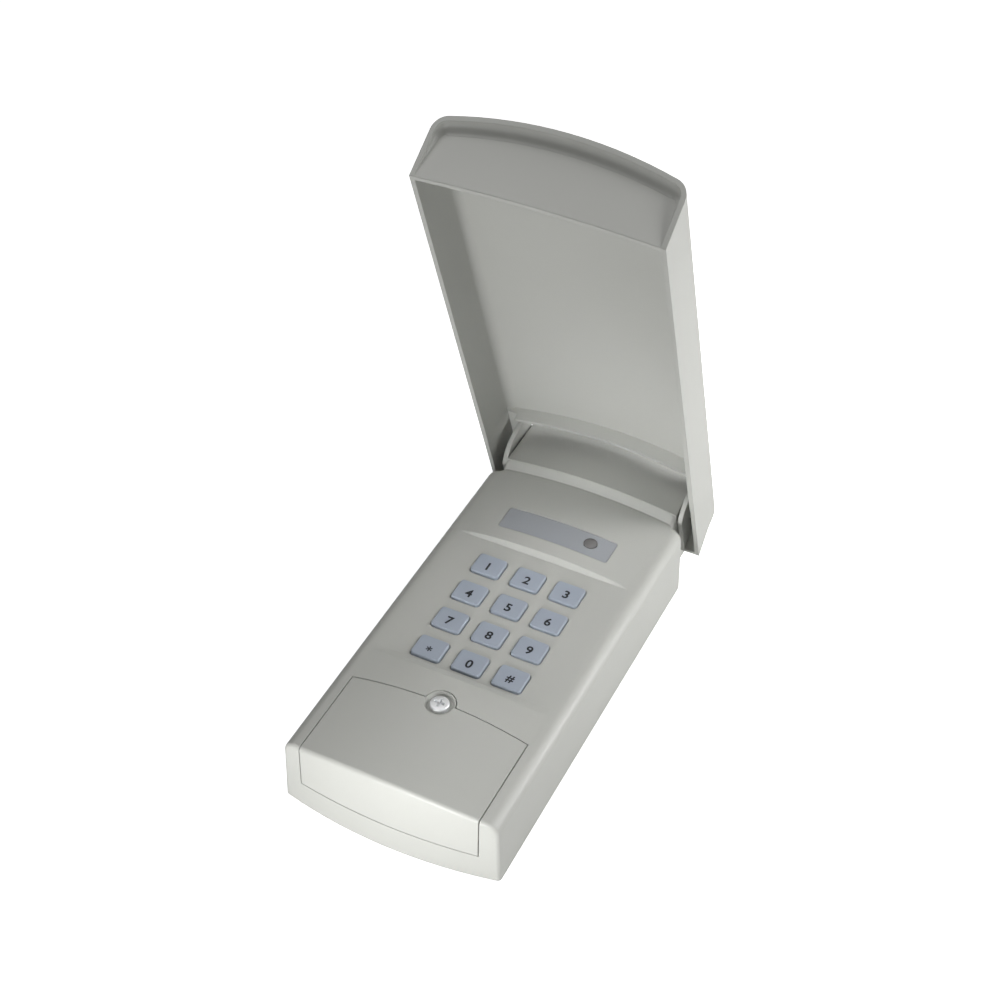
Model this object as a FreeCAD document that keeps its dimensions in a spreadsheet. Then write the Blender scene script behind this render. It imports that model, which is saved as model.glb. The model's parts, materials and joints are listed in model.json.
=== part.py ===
import FreeCAD, Part
import Sketcher
import math
import os

# Wireless entry keypad with a flip-up weather lid, lying on its back.
# Origin: centre of the back face. +Z out of the keys, +Y towards the lid's hinge, millimetres.
# The lid is drawn closed, about its hinge axis, and then placed open by lid_open_angle.

V = FreeCAD.Vector
doc = FreeCAD.newDocument("entry_keypad")

# ---------------------------------------------------------------- driving dimensions

SIZES = {
    # case: a crowned, drafted box with a narrower hinge block at its far end
    "case_width": 66.4,
    "brow_width": 64.9,
    "brow_radius": 4.0,
    "case_length": 125.3,
    "body_length": 156.0,
    "case_height": 25.2,
    "crown_radius": 164.0,
    "near_arch_low": 3.8,
    "near_arch_high": 2.2,
    "near_edge_radius": 1.2,
    "shoulder_radius": 2.5,
    "wall": 2.0,
    "near_wall": 1.5,
    # hinge block: a low ridge, then a roof that falls to the back wall
    "block_width": 57.2,
    "ridge_foot": 125.5,
    "ridge_run": 2.5,
    "ridge_rise": 1.85,
    "block_end_height": 23.5,
    "block_edge_radius": 1.6,
    "block_back_radius": 3.0,
    "block_cavity_height": 17.6,
    # keypad: a flat floor let into the crown, with twelve openings
    "keypad_start": 38.9,
    "keypad_end": 94.8,
    "keypad_floor": 22.85,
    "near_ramp": 3.4,
    "far_ramp": 0.8,
    "key_pitch_across": 12.7,
    "key_pitch_along": 12.29,
    "keys_centre": 65.6,
    "key_width": 9.0,
    "key_depth": 7.9,
    "key_corner": 1.1,
    "key_edge": 0.45,
    "key_proud": 0.9,
    "key_travel": 0.9,
    "key_gap": 0.25,
    "key_body_bottom": 18.2,
    "key_foot_radius": 2.2,
    # label and status light
    "label_width": 35.8,
    "label_depth": 9.2,
    "label_centre": 104.5,
    "label_recess": 0.5,
    "label_thickness": 0.35,
    "label_corner": 0.9,
    "label_gap": 0.15,
    "light_across": 10.5,
    "light_along": 105.1,
    "lens_radius": 2.05,
    "lens_gap": 0.08,
    "lens_flange_radius": 3.1,
    "lens_flange_height": 0.9,
    "lens_dome_height": 0.55,
    # battery door: L-shaped, over the face and the near end, with a screw tab
    "door_width": 54.5,
    "door_sill": 8.5,
    "door_side_length": 28.4,
    "door_foot": 29.45,
    "door_top_radius": 310.0,
    "door_gap": 0.25,
    "door_plate": 2.2,
    "door_tongue_depth": 2.0,
    "door_tongue_thickness": 0.6,
    "door_tongue_half_width": 22.0,
    "tab_radius": 4.75,
    "door_screw_along": 28.9,
    "door_seat_height": 24.0,
    "door_seat_radius": 3.7,
    "door_seat_flare": 0.4,
    "ledge_width": 2.2,
    "ledge_thickness": 0.8,
    "ledge_reach": 0.9,
    "door_screw_head_radius": 2.8,
    "door_screw_head_height": 1.5,
    "door_screw_shank_radius": 1.4,
    "door_screw_length": 10.0,
    "screw_hole_gap": 0.1,
    "screw_block_width": 7.0,
    "screw_block_bottom": 11.0,
    "partition_thickness": 1.8,
    "partition_along": 34.0,
    "lead_notch_width": 5.0,
    "lead_notch_height": 14.2,
    # rear cover: a plate let into the back, held by six screws
    "cover_thickness": 2.4,
    "cover_gap": 0.2,
    "keyhole_radius": 4.2,
    "keyhole_slot_width": 4.6,
    "keyhole_slot_length": 7.0,
    "keyhole_along": 138.0,
    "lower_hole_radius": 2.3,
    "lower_hole_along": 16.0,
    "boss_radius": 3.2,
    "boss_across": 27.4,
    "near_boss_along": 35.0,
    "far_boss_along": 120.0,
    "back_boss_across": 20.0,
    "back_boss_along": 149.5,
    "case_screw_head_radius": 2.7,
    "case_screw_head_height": 1.3,
    "case_screw_shank_radius": 1.45,
    "case_screw_length": 9.0,
    "case_screw_recess": 0.1,
    "cradle_height": 3.2,
    "cradle_thickness": 1.4,
    # hinge: stub axles on the block, bores in the lid's cheeks
    "hinge_along": 137.8,
    "hinge_height": 19.3,
    "axle_radius": 2.5,
    "axle_gap": 0.06,
    "axle_reach": 1.9,
    "axle_edge": 0.4,
    "lid_open_angle": 70.7,
    # weather lid, in its closed place
    "lid_width": 70.2,
    "lid_brow_width": 69.8,
    "lid_rim_height": 11.2,
    "lid_top_height": 31.6,
    "lid_brow_radius": 4.5,
    "lid_wall": 1.4,
    "lid_inner_radius": 3.1,
    "lid_reach": 7.2,
    "lid_end_bow": 1.8,
    "lip_slope": 0.26,
    "web_slope": 0.075,
    "ear_back": 12.3,
    "ear_back_slope": 0.445,
    "ear_turn_height": 20.0,
    "ear_turn_radius": 9.0,
    "ear_top_run": 7.4,
    "ear_top_height": 29.6,
    "ear_wall": 1.3,
    "ear_inside_height": 25.0,
    "cheek_gap": 0.4,
    "cheek_radius": 9.6,
    "lid_stop_wall": 124.1,
    "lid_stop_height": 25.65,
    # circuit board and what it carries
    "board_width": 56.0,
    "board_start": 39.5,
    "board_end": 115.0,
    "board_thickness": 1.6,
    "board_top": 16.2,
    "post_radius": 2.6,
    "post_top": 22.0,
    "post_across": 24.5,
    "near_post_along": 48.5,
    "far_post_along": 111.0,
    "board_screw_shank_radius": 1.1,
    "board_screw_head_radius": 2.1,
    "board_screw_head_height": 1.5,
    "board_screw_length": 6.0,
    "contact_size": 5.6,
    "contact_thickness": 0.1,
    "mat_width": 40.6,
    "mat_depth": 50.6,
    "mat_thickness": 1.0,
    "mat_collar_height": 1.7,
    "mat_collar_wall": 0.8,
    "mat_gap": 0.3,
    "led_radius": 1.5,
    "led_flange_radius": 1.9,
    "led_height": 4.6,
    # battery, its snap connector and leads
    "battery_length": 48.5,
    "battery_width": 26.3,
    "battery_height": 17.5,
    "battery_corner": 2.0,
    "battery_left": -27.7,
    "battery_along": 14.25,
    "battery_lift": 0.05,
    "stud_spacing": 12.7,
    "small_stud_radius": 2.9,
    "large_stud_radius": 3.9,
    "stud_height": 2.8,
    "snap_gap": 0.15,
    "snap_thickness": 4.6,
    "snap_height": 12.0,
    "snap_depth": 25.0,
    "lead_radius": 0.65,
    "lead_bend": 4.0,
    "pad_thickness": 2.95,
}

sheet = doc.addObject("Spreadsheet::Sheet", "size")
for row, (name, number) in enumerate(SIZES.items(), 1):
    sheet.set(f"A{row}", name)
    sheet.set(f"B{row}", str(number))
    sheet.setAlias(f"B{row}", name)
doc.recompute()

# Places that several pieces share, as expressions of the sheet.
NEAR = "(-size.body_length / 2)"
FAR = "(size.body_length / 2)"
CASE_HALF = "(size.case_width / 2)"
BROW_HALF = "(size.brow_width / 2)"
BLOCK_HALF = "(size.block_width / 2)"
UNDERSIDE = "(size.keypad_floor - size.wall)"
BEYOND = "60"


def along(name):
    """Place along Y of a size that is counted from the near corners."""
    return f"({NEAR} + size.{name})"


SHOULDER = along("case_length")
HINGE = along("hinge_along")


def value(expression):
    return float(sheet.evalExpression(expression))


# ---------------------------------------------------------------- modelling helpers

NORMAL = {"XY_Plane": 1, "XZ_Plane": -1, "YZ_Plane": 1}
plane_of = {}
parts = {}


def origin_item(body, role):
    return [item for item in body.Origin.OriginFeatures if item.Role == role][0]


def new_body(name, finished=True):
    body = doc.addObject("PartDesign::Body", name)
    body.Label = name
    if finished:
        parts[name] = body
    return body


def sketch(body, name, role, place="0"):
    """A sketch on one of the body's own planes, moved to place along that plane's axis."""
    drawn = body.newObject("Sketcher::SketchObject", name)
    drawn.AttachmentSupport = [(origin_item(body, role), "")]
    drawn.MapMode = "FlatFace"
    drawn.setExpression("AttachmentOffset.Base.z", f"{NORMAL[role]} * ({place})")
    plane_of[drawn.Name] = role
    return drawn


def fix(drawn, kind, geometry, point, expression):
    number = value(expression)
    if point is None:
        index = drawn.addConstraint(Sketcher.Constraint(kind, geometry, number))
    else:
        index = drawn.addConstraint(Sketcher.Constraint(kind, -1, 1, geometry, point, number))
    drawn.setExpression(f"Constraints[{index}]", expression)


def outline(drawn, corners, arcs=None):
    """A closed outline. arcs gives, for the edge after a corner, its radius and which side it bulges to."""
    arcs = arcs or {}
    points = [V(value(x), value(y), 0) for x, y in corners]
    count = len(points)
    ids = []
    for i, start in enumerate(points):
        end = points[(i + 1) % count]
        if i in arcs:
            radius = value(arcs[i][0])
            chord = end - start
            across = V(-chord.y, chord.x, 0).normalize()
            rise = radius - math.sqrt(radius**2 - chord.Length**2 / 4)
            middle = (start + end) * 0.5 + across * arcs[i][1] * rise
            ends = (start, end) if arcs[i][1] < 0 else (end, start)
            ids.append(drawn.addGeometry(Part.Arc(ends[0], middle, ends[1])))
        else:
            ids.append(drawn.addGeometry(Part.LineSegment(start, end)))

    def end_at(geometry, point):
        return 1 if (drawn.Geometry[geometry].StartPoint - point).Length < 1e-6 else 2

    for i in range(count):
        after = (i + 1) % count
        corner = points[after]
        pair = (ids[i], end_at(ids[i], corner), ids[after], end_at(ids[after], corner))
        drawn.addConstraint(Sketcher.Constraint("Coincident", *pair))
    for i, (x, y) in enumerate(corners):
        point = end_at(ids[i], points[i])
        fix(drawn, "DistanceX", ids[i], point, x)
        fix(drawn, "DistanceY", ids[i], point, y)
        if i in arcs:
            fix(drawn, "Radius", ids[i], None, arcs[i][0])


def rectangle(drawn, x, y, width, depth, corner=None):
    """A rectangle about its centre, with round corners if a radius is given."""
    left, right = f"({x}) - ({width}) / 2", f"({x}) + ({width}) / 2"
    low, high = f"({y}) - ({depth}) / 2", f"({y}) + ({depth}) / 2"
    if corner is None:
        outline(drawn, [(left, low), (right, low), (right, high), (left, high)])
        return
    r = corner
    points = [
        (f"{left} + {r}", low), (f"{right} - {r}", low),
        (right, f"{low} + {r}"), (right, f"{high} - {r}"),
        (f"{right} - {r}", high), (f"{left} + {r}", high),
        (left, f"{high} - {r}"), (left, f"{low} + {r}"),
    ]
    outline(drawn, points, {i: (r, -1) for i in (1, 3, 5, 7)})


def circle(drawn, x, y, radius):
    ring = Part.Circle(V(value(x), value(y), 0), V(0, 0, 1), value(radius))
    index = drawn.addGeometry(ring)
    fix(drawn, "DistanceX", index, 3, x)
    fix(drawn, "DistanceY", index, 3, y)
    fix(drawn, "Radius", index, None, radius)


def feature(body, kind, name, **settings):
    before = body.Shape.Volume if body.Tip else 0.0
    made = body.newObject(kind, name)
    for key, setting in settings.items():
        setattr(made, key, setting)
    return made, before


def finish(body, made, before):
    """Recompute, and stop if the feature failed or changed nothing."""
    doc.recompute()
    for item in body.Group:
        if "Invalid" in item.State or "Error" in item.State:
            raise RuntimeError(f"{body.Label}: {item.Label} failed, {item.getStatusString()}")
    if abs(body.Shape.Volume - before) < 1e-4:
        raise RuntimeError(f"{body.Label}: {made.Label} changes nothing")
    return made


def pad(body, drawn, name, length, way):
    made, before = feature(body, "PartDesign::Pad", name, Profile=drawn)
    made.Reversed = way != NORMAL[plane_of[drawn.Name]]
    made.setExpression("Length", length)
    return finish(body, made, before)


def pocket(body, drawn, name, length, way):
    made, before = feature(body, "PartDesign::Pocket", name, Profile=drawn)
    made.Reversed = way == NORMAL[plane_of[drawn.Name]]
    made.setExpression("Length", length)
    return finish(body, made, before)


def loft(body, kind, sections, name):
    """A ruled loft, PartDesign::AdditiveLoft or PartDesign::SubtractiveLoft, through the sections."""
    made, before = feature(body, kind, name, Profile=sections[0], Sections=sections[1:], Ruled=True)
    return finish(body, made, before)


def revolve(body, name, corners, arcs=None):
    """A solid of revolution about the body's own Z axis, from a profile of (radius, height)."""
    drawn = sketch(body, f"{name}_profile", "XZ_Plane")
    outline(drawn, corners, arcs)
    made, before = feature(body, "PartDesign::Revolution", name, Profile=drawn)
    made.ReferenceAxis = (origin_item(body, "Z_Axis"), [""])
    made.Angle = 360
    return finish(body, made, before)


def dress(body, kind, name, measure, size, wanted):
    """Dress every edge of the body's last feature whose bounding box passes the test wanted."""
    base = body.Tip
    chosen = [f"Edge{i}" for i, edge in enumerate(base.Shape.Edges, 1) if wanted(edge.BoundBox)]
    if not chosen:
        raise RuntimeError(f"{body.Label}: no edge for {name}")
    made, before = feature(body, kind, name, Base=(base, chosen))
    made.setExpression(measure, size)
    return finish(body, made, before)


def fillet(body, name, radius, wanted):
    return dress(body, "PartDesign::Fillet", name, "Radius", radius, wanted)


def chamfer(body, name, size, wanted):
    return dress(body, "PartDesign::Chamfer", name, "Size", size, wanted)


def grid(body, pattern, name, across, along_y, counts):
    """Repeat one pad or pocket in rows and columns, over the given whole lengths."""
    made, before = feature(body, "PartDesign::MultiTransform", name, Originals=[pattern])
    steps = []
    for role, length, count in (("X_Axis", across, counts[0]), ("Y_Axis", along_y, counts[1])):
        step = body.newObject("PartDesign::LinearPattern", f"{name}_{role[0].lower()}")
        step.Direction = (origin_item(body, role), [""])
        step.setExpression("Length", length)
        step.Occurrences = count
        steps.append(step)
    made.Transformations = steps
    body.Tip = made
    return finish(body, made, before)


def place(body, x, y, z="0"):
    body.setExpression("Placement.Base.x", x)
    body.setExpression("Placement.Base.y", y)
    body.setExpression("Placement.Base.z", z)


def group(name, master, places):
    """Like pieces that share a node: copies of one master shape at the given places."""
    doc.recompute()
    solids = []
    for x, y in places:
        solid = master.Shape.copy()
        solid.translate(V(value(x), value(y), 0))
        solids.append(solid)
    made = doc.addObject("Part::Feature", name)
    made.Label = name
    made.Shape = Part.makeCompound(solids)
    made.Placement = FreeCAD.Placement()
    parts[name] = made
    return made


def mirrored_places(x, y_list):
    return [(f"{sign}({x})", y) for y in y_list for sign in ("", "-")]


# ---------------------------------------------------------------- shared forms


def crown_z(x, top, radius="size.crown_radius"):
    """Height at x of an arc of the crown's radius whose middle is at top."""
    return f"({top} - {radius} + sqrt(({radius})^2 - ({x})^2))"


def crowned_section(body, name, y, base, half_base, half_top, top, radius="size.crown_radius"):
    """Cross-section with straight sides and a crowned top, across X at y."""
    drawn = sketch(body, name, "XZ_Plane", y)
    corner = crown_z(half_top, top, radius)
    corners = [(f"-({half_base})", base), (half_base, base), (half_top, corner), (f"-({half_top})", corner)]
    outline(drawn, corners, {2: (radius, -1)})
    return drawn


def arc_radius(half, rise):
    return f"((({half})^2 + ({rise})^2) / (2 * ({rise})))"


def arched_end(body, name, z, half, end, bow, way):
    """Everything beyond an arched end wall: way -1 takes the near side, +1 the far side."""
    drawn = sketch(body, name, "XY_Plane", z)
    beyond = f"({end} + {way} * {BEYOND})"
    if way < 0:
        corners = [(f"-({half})", end), (f"-({half})", beyond), (half, beyond), (half, end)]
        outline(drawn, corners, {3: (arc_radius(half, bow), 1)})
    else:
        corners = [(half, end), (half, beyond), (f"-({half})", beyond), (f"-({half})", end)]
        outline(drawn, corners, {3: (arc_radius(half, bow), -1)})
    return drawn


def case_form(body, with_block):
    """The outer form that the front case and the battery door share."""
    start = f"({NEAR} - size.near_arch_low)"
    section = crowned_section(body, "cross_section", start, "0", CASE_HALF, BROW_HALF, "size.case_height")
    pad(body, section, "crowned_box", f"size.case_length + size.near_arch_low", 1)
    if with_block:
        hinge_block(body)
    brow = value(BROW_HALF)
    brow_low = value(crown_z(BROW_HALF, "size.case_height")) - 1
    long_side = value("size.case_length") * 0.9
    fillet(body, "brows", "size.brow_radius",
           lambda box: box.YLength > long_side and box.ZMin > brow_low and abs(box.XMax) > brow - 1)
    lean = "(size.near_arch_low - size.near_arch_high) / size.case_height"
    margin = "5"
    low = arched_end(body, "near_end_low", f"-{margin}", CASE_HALF, NEAR,
                     f"size.near_arch_low + {margin} * {lean}", -1)
    high = arched_end(body, "near_end_high", f"size.case_height + {margin}", CASE_HALF, NEAR,
                      f"size.near_arch_high - {margin} * {lean}", -1)
    loft(body, "PartDesign::SubtractiveLoft", [low, high], "near_end")
    near = value(NEAR) + 2
    half_height = value("size.case_height") / 2
    fillet(body, "near_edges", "size.near_edge_radius",
           lambda box: box.YMax < near and box.ZMax > half_height)


def hinge_block(body):
    """Narrow block behind the shoulders: ridge, falling roof and rounded back."""
    slope = "size.ridge_rise / size.ridge_run"
    rows = [
        (f"{along('ridge_foot')} - 1", f"size.case_height - {slope}"),
        (f"{along('ridge_foot')} + size.ridge_run", "size.case_height + size.ridge_rise"),
        (FAR, "size.block_end_height"),
    ]
    sections = [
        crowned_section(body, f"block_section_{i}", y, "0", BLOCK_HALF, BLOCK_HALF, top)
        for i, (y, top) in enumerate(rows)
    ]
    loft(body, "PartDesign::AdditiveLoft", sections, "hinge_block")
    far = value(FAR)
    fillet(body, "block_back", "size.block_back_radius",
           lambda box: box.YMin > far - 0.1 and box.XLength > 20 and box.ZMin > 5)
    half = value(BLOCK_HALF)
    ridge = value(along("ridge_foot"))
    fillet(body, "block_sides", "size.block_edge_radius",
           lambda box: box.XLength < 0.1 and abs(abs(box.XMin) - half) < 0.1
           and box.YMax > ridge + 1 and box.ZMax > 10)


def door_outline(drawn, inset):
    """The door's outline in plan: square sides, a slightly bowed top edge and a round screw tab."""
    half = f"(size.door_width / 2 - {inset})"
    side = f"({along('door_side_length')} - {inset})"
    foot = f"({along('door_foot')} - {inset})"
    tab = f"(size.tab_radius - {inset})"
    foot_x = f"sqrt({tab}^2 - ({foot} - {along('door_screw_along')})^2)"
    start = f"({NEAR} - {BEYOND})"
    corners = [
        (f"-{half}", start), (half, start), (half, side), (foot_x, foot),
        (f"-{foot_x}", foot), (f"-{half}", side),
    ]
    outline(drawn, corners, {2: ("size.door_top_radius", -1), 3: (tab, -1), 4: ("size.door_top_radius", -1)})


INNER_HALF = f"({CASE_HALF} - size.wall)"
INNER_NEAR = f"({NEAR} + size.near_wall)"
INNER_RADIUS = arc_radius(INNER_HALF, "size.near_arch_high")


def inner_near_y(x, inset):
    """Place of the near wall's inside at x, moved inwards by inset."""
    drop = f"({INNER_RADIUS} - sqrt(({INNER_RADIUS})^2 - ({x})^2))"
    return f"({NEAR} + {inset} - size.near_arch_high + {drop})"


def main_plan(drawn, inset, end_inset):
    """Plan of the case's inside, from the arched near wall to the shoulders."""
    half = f"({CASE_HALF} - {inset})"
    end = f"({SHOULDER} - {end_inset})"
    near = f"({NEAR} + {inset} - size.wall + size.near_wall)"
    corners = [(f"-{half}", near), (half, near), (half, end), (f"-{half}", end)]
    outline(drawn, corners, {0: (arc_radius(half, "size.near_arch_high"), -1)})


# ---------------------------------------------------------------- front case

CASE_BOSSES = mirrored_places("size.boss_across", [along("near_boss_along"), along("far_boss_along")])
BACK_BOSSES = mirrored_places("size.back_boss_across", [along("back_boss_along")])
POSTS = mirrored_places("size.post_across", [along("near_post_along"), along("far_post_along")])
PARTITION = along("partition_along")


def columns(body, name, places, radius, bottom, top):
    drawn = sketch(body, f"{name}_plan", "XY_Plane", bottom)
    for x, y in places:
        circle(drawn, x, y, radius)
    return pad(body, drawn, name, f"({top}) - ({bottom})", 1)


def holes(body, name, places, radius, bottom, top):
    drawn = sketch(body, f"{name}_plan", "XY_Plane", bottom)
    for x, y in places:
        circle(drawn, x, y, radius)
    return pocket(body, drawn, name, f"({top}) - ({bottom})", 1)


def front_case():
    body = new_body("front_case")
    case_form(body, True)
    shoulder = value(SHOULDER)
    block = value(BLOCK_HALF)
    fillet(body, "shoulder_corners", "size.shoulder_radius",
           lambda box: box.YMin > shoulder - 0.05 and box.YMax < shoulder + 0.05
           and box.ZLength > 5 and abs(box.XMin) > block + 2)
    case_inside(body)
    keypad_recess(body)
    label_recess(body)
    door_opening(body)
    case_bosses(body)
    stub_axles(body)


def case_inside(body):
    drawn = sketch(body, "inside_plan", "XY_Plane")
    main_plan(drawn, "size.wall", "size.wall")
    pocket(body, drawn, "inside", UNDERSIDE, 1)
    under = value(UNDERSIDE)
    inner = value(INNER_HALF)
    fillet(body, "inside_brows", "(size.brow_radius - 0.5)",
           lambda box: box.YLength > 60 and abs(box.ZMin - under) < 0.05 and abs(abs(box.XMin) - inner) < 0.05)
    drawn = sketch(body, "hinge_inside_plan", "XY_Plane")
    middle = f"(({SHOULDER} - size.wall - 1) + ({FAR} - size.wall)) / 2"
    length = f"(({FAR} - size.wall) - ({SHOULDER} - size.wall - 1))"
    rectangle(drawn, "0", middle, "size.block_width - 2 * size.wall", length)
    pocket(body, drawn, "hinge_inside", "size.block_cavity_height", 1)
    start = f"({along('keypad_end')} + size.wall)"
    drawn = crowned_section(body, "label_inside_section", start, "size.board_top",
                            f"{BLOCK_HALF} - size.boss_radius", f"{BLOCK_HALF} - size.boss_radius",
                            "size.case_height - size.wall")
    pocket(body, drawn, "label_inside", f"{SHOULDER} - size.wall - {start}", 1)


def keypad_recess(body):
    """Flat floor whose two ends climb back to the crowned face, along ramps that twist into the crown."""
    rise = "(size.case_height - size.keypad_floor)"
    half = f"(sqrt(2 * size.crown_radius * {rise} - {rise}^2) + 0.6)"
    floor = "size.keypad_floor"
    near_foot = f"({along('keypad_start')} + size.near_ramp)"
    far_foot = f"({along('keypad_end')} - size.far_ramp)"
    drawn = sketch(body, "keypad_flat_plan", "XY_Plane", floor)
    rectangle(drawn, "0", f"({near_foot} + {far_foot}) / 2", f"2 * {half}", f"{far_foot} - {near_foot}")
    pocket(body, drawn, "keypad_flat", BEYOND, 1)
    over = "1"
    for name, foot, run, way in (("near", near_foot, "size.near_ramp", "-"), ("far", far_foot, "size.far_ramp", "")):
        low = sketch(body, f"{name}_ramp_foot", "XZ_Plane", f"{foot}")
        outline(low, [(f"-{half}", floor), (half, floor), (half, BEYOND), (f"-{half}", BEYOND)])
        high = sketch(body, f"{name}_ramp_top", "XZ_Plane", f"{foot} + {way}1 * ({run} + {over})")
        height = f"({rise} * (1 + {over} / {run}))"
        corners = [(f"-{half}", floor), (half, floor), (half, BEYOND), (f"-{half}", BEYOND)]
        outline(high, corners, {0: (arc_radius(half, height), 1)})
        loft(body, "PartDesign::SubtractiveLoft", [low, high], f"{name}_ramp")
    drawn = sketch(body, "first_key_plan", "XY_Plane", UNDERSIDE + " - 1")
    wide = "size.key_width + 2 * size.key_gap"
    deep = "size.key_depth + 2 * size.key_gap"
    first_y = f"({along('keys_centre')} - 1.5 * size.key_pitch_along)"
    rectangle(drawn, "-size.key_pitch_across", first_y, wide, deep, "(size.key_corner + size.key_gap)")
    first = pocket(body, drawn, "first_key_opening", "size.wall + 4", 1)
    grid(body, first, "key_openings", "2 * size.key_pitch_across", "3 * size.key_pitch_along", (3, 4))


def label_profile(body, name, width, depth, floor, top=None):
    """A band of the crown, label wide: from floor below the crown up to top below it, or to beyond."""
    start = f"({along('label_centre')} - ({depth}) / 2)"
    drawn = sketch(body, name, "XZ_Plane", start)
    half = f"(({width}) / 2)"
    low_radius = f"(size.crown_radius - {floor})"
    low = crown_z(half, f"(size.case_height - {floor})", low_radius)
    if top is None:
        corners = [(f"-{half}", low), (half, low), (half, BEYOND), (f"-{half}", BEYOND)]
        outline(drawn, corners, {0: (low_radius, 1)})
    else:
        high_radius = f"(size.crown_radius - {top})"
        high = crown_z(half, f"(size.case_height - {top})", high_radius)
        corners = [(f"-{half}", low), (half, low), (half, high), (f"-{half}", high)]
        outline(drawn, corners, {0: (low_radius, 1), 2: (high_radius, -1)})
    return drawn


def label_recess(body):
    drawn = label_profile(body, "label_section", "size.label_width", "size.label_depth", "size.label_recess")
    pocket(body, drawn, "label_bed", "size.label_depth", 1)
    half = value("size.label_width / 2")
    tall = value("size.label_recess") * 1.5
    middle = value(along("label_centre"))
    reach = value("size.label_depth / 2")
    fillet(body, "label_bed_corners", "size.label_corner",
           lambda box: abs(abs(box.XMin) - half) < 0.05 and abs(abs(box.YMin - middle) - reach) < 0.05
           and box.YLength < 0.05 and box.XLength < 0.05 and 0.1 < box.ZLength < tall)
    hole = [("size.light_across", along("light_along"))]
    holes(body, "light_hole", hole, "size.lens_radius + size.lens_gap", UNDERSIDE, BEYOND)


def door_opening(body):
    drawn = sketch(body, "door_opening_plan", "XY_Plane", "size.door_sill")
    door_outline(drawn, "0")
    pocket(body, drawn, "door_opening", BEYOND, 1)
    # the end wall's rim is rebated on its inside for the door's tongue
    drawn = sketch(body, "rebate_plan", "XY_Plane", "size.door_sill - size.door_tongue_depth - size.door_gap")
    half = "(size.door_tongue_half_width + size.door_gap)"
    line = inner_near_y(half, "(size.near_wall - size.door_tongue_thickness - size.door_gap)")
    inside = f"({INNER_NEAR} + 1)"
    corners = [(f"-{half}", line), (half, line), (half, inside), (f"-{half}", inside)]
    outline(drawn, corners, {0: (INNER_RADIUS, -1)})
    pocket(body, drawn, "tongue_rebate", "size.door_tongue_depth + size.door_gap + 1", 1)
    # ledges under the door's two sides
    start = f"({INNER_NEAR} + 1)"
    inner = "(size.door_width / 2 - size.ledge_width)"
    outer = f"({INNER_HALF} + 0.3)"
    for side, sign in (("left", "-"), ("right", "")):
        drawn = sketch(body, f"{side}_ledge_plan", "XY_Plane", f"{UNDERSIDE} - size.ledge_thickness")
        middle = f"{sign}({inner} + {outer}) / 2"
        along_y = f"({start} + {PARTITION}) / 2"
        rectangle(drawn, middle, along_y, f"{outer} - {inner}", f"{PARTITION} - {start}")
        pad(body, drawn, f"{side}_ledge", "size.ledge_thickness", 1)
    # partition between the battery and the circuit board, with a ledge and the screw block
    drawn = sketch(body, "partition_section", "XZ_Plane", PARTITION)
    top = f"({UNDERSIDE} + 0.2)"
    wide = f"({INNER_HALF} + 0.2)"
    low = "(size.cover_thickness + size.cover_gap)"
    notch = "(size.battery_left + size.battery_length)"
    notch_end = f"({notch} + size.lead_notch_width)"
    brow_cut = "4"
    corners = [
        (f"-{wide}", low), (notch, low), (notch, "size.lead_notch_height"),
        (notch_end, "size.lead_notch_height"), (notch_end, low), (wide, low),
        (wide, f"{top} - {brow_cut}"), (f"{wide} - {brow_cut}", top),
        (f"-{wide} + {brow_cut}", top), (f"-{wide}", f"{top} - {brow_cut}"),
    ]
    outline(drawn, corners)
    pad(body, drawn, "partition", "size.partition_thickness", 1)
    drawn = sketch(body, "top_ledge_plan", "XY_Plane", f"{UNDERSIDE} - size.ledge_thickness")
    ledge_start = f"({along('door_side_length')} - size.ledge_reach)"
    ledge_end = f"({PARTITION} + 0.5)"
    middle = f"({ledge_start} + {ledge_end}) / 2"
    rectangle(drawn, "0", middle, "size.door_width", f"{ledge_end} - {ledge_start}")
    pad(body, drawn, "top_ledge", "size.ledge_thickness", 1)
    drawn = sketch(body, "screw_block_plan", "XY_Plane", "size.screw_block_bottom")
    rectangle(drawn, "0", middle, "size.screw_block_width", f"{ledge_end} - {ledge_start}")
    pad(body, drawn, "screw_block", f"{UNDERSIDE} - size.screw_block_bottom", 1)
    spot = [("0", along("door_screw_along"))]
    holes(body, "door_screw_hole", spot, "size.door_screw_shank_radius + size.screw_hole_gap",
          "size.screw_block_bottom + 1", "size.case_height")


def case_bosses(body):
    columns(body, "case_bosses", CASE_BOSSES, "size.boss_radius",
            "size.cover_thickness", f"{UNDERSIDE} - 1")
    columns(body, "back_bosses", BACK_BOSSES, "size.boss_radius",
            "size.cover_thickness", "size.block_cavity_height + 0.3")
    columns(body, "board_posts", POSTS, "size.post_radius", "size.board_top", "size.post_top")
    tip = "(size.case_screw_recess + size.case_screw_head_height + size.case_screw_length + 1)"
    holes(body, "case_screw_holes", CASE_BOSSES + BACK_BOSSES,
          "size.case_screw_shank_radius + size.screw_hole_gap", "0", tip)
    board_tip = "(size.board_top - size.board_thickness + size.board_screw_length + 0.3)"
    holes(body, "board_screw_holes", POSTS,
          "size.board_screw_shank_radius + size.screw_hole_gap", "0", board_tip)


def stub_axles(body):
    for side, sign, way in (("left", "-", -1), ("right", "", 1)):
        drawn = sketch(body, f"{side}_axle_section", "YZ_Plane", f"{sign}({BLOCK_HALF} - 0.5)")
        circle(drawn, HINGE, "size.hinge_height", "size.axle_radius")
        pad(body, drawn, f"{side}_axle", "size.axle_reach + 0.5", way)
        edge = value(f"{BLOCK_HALF} + size.axle_reach")
        chamfer(body, f"{side}_axle_end", "size.axle_edge",
               lambda box: box.XLength < 0.01 and abs(box.XMin - way * edge) < 0.05 and box.YLength > 2)


# ---------------------------------------------------------------- rear cover and case screws

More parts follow.
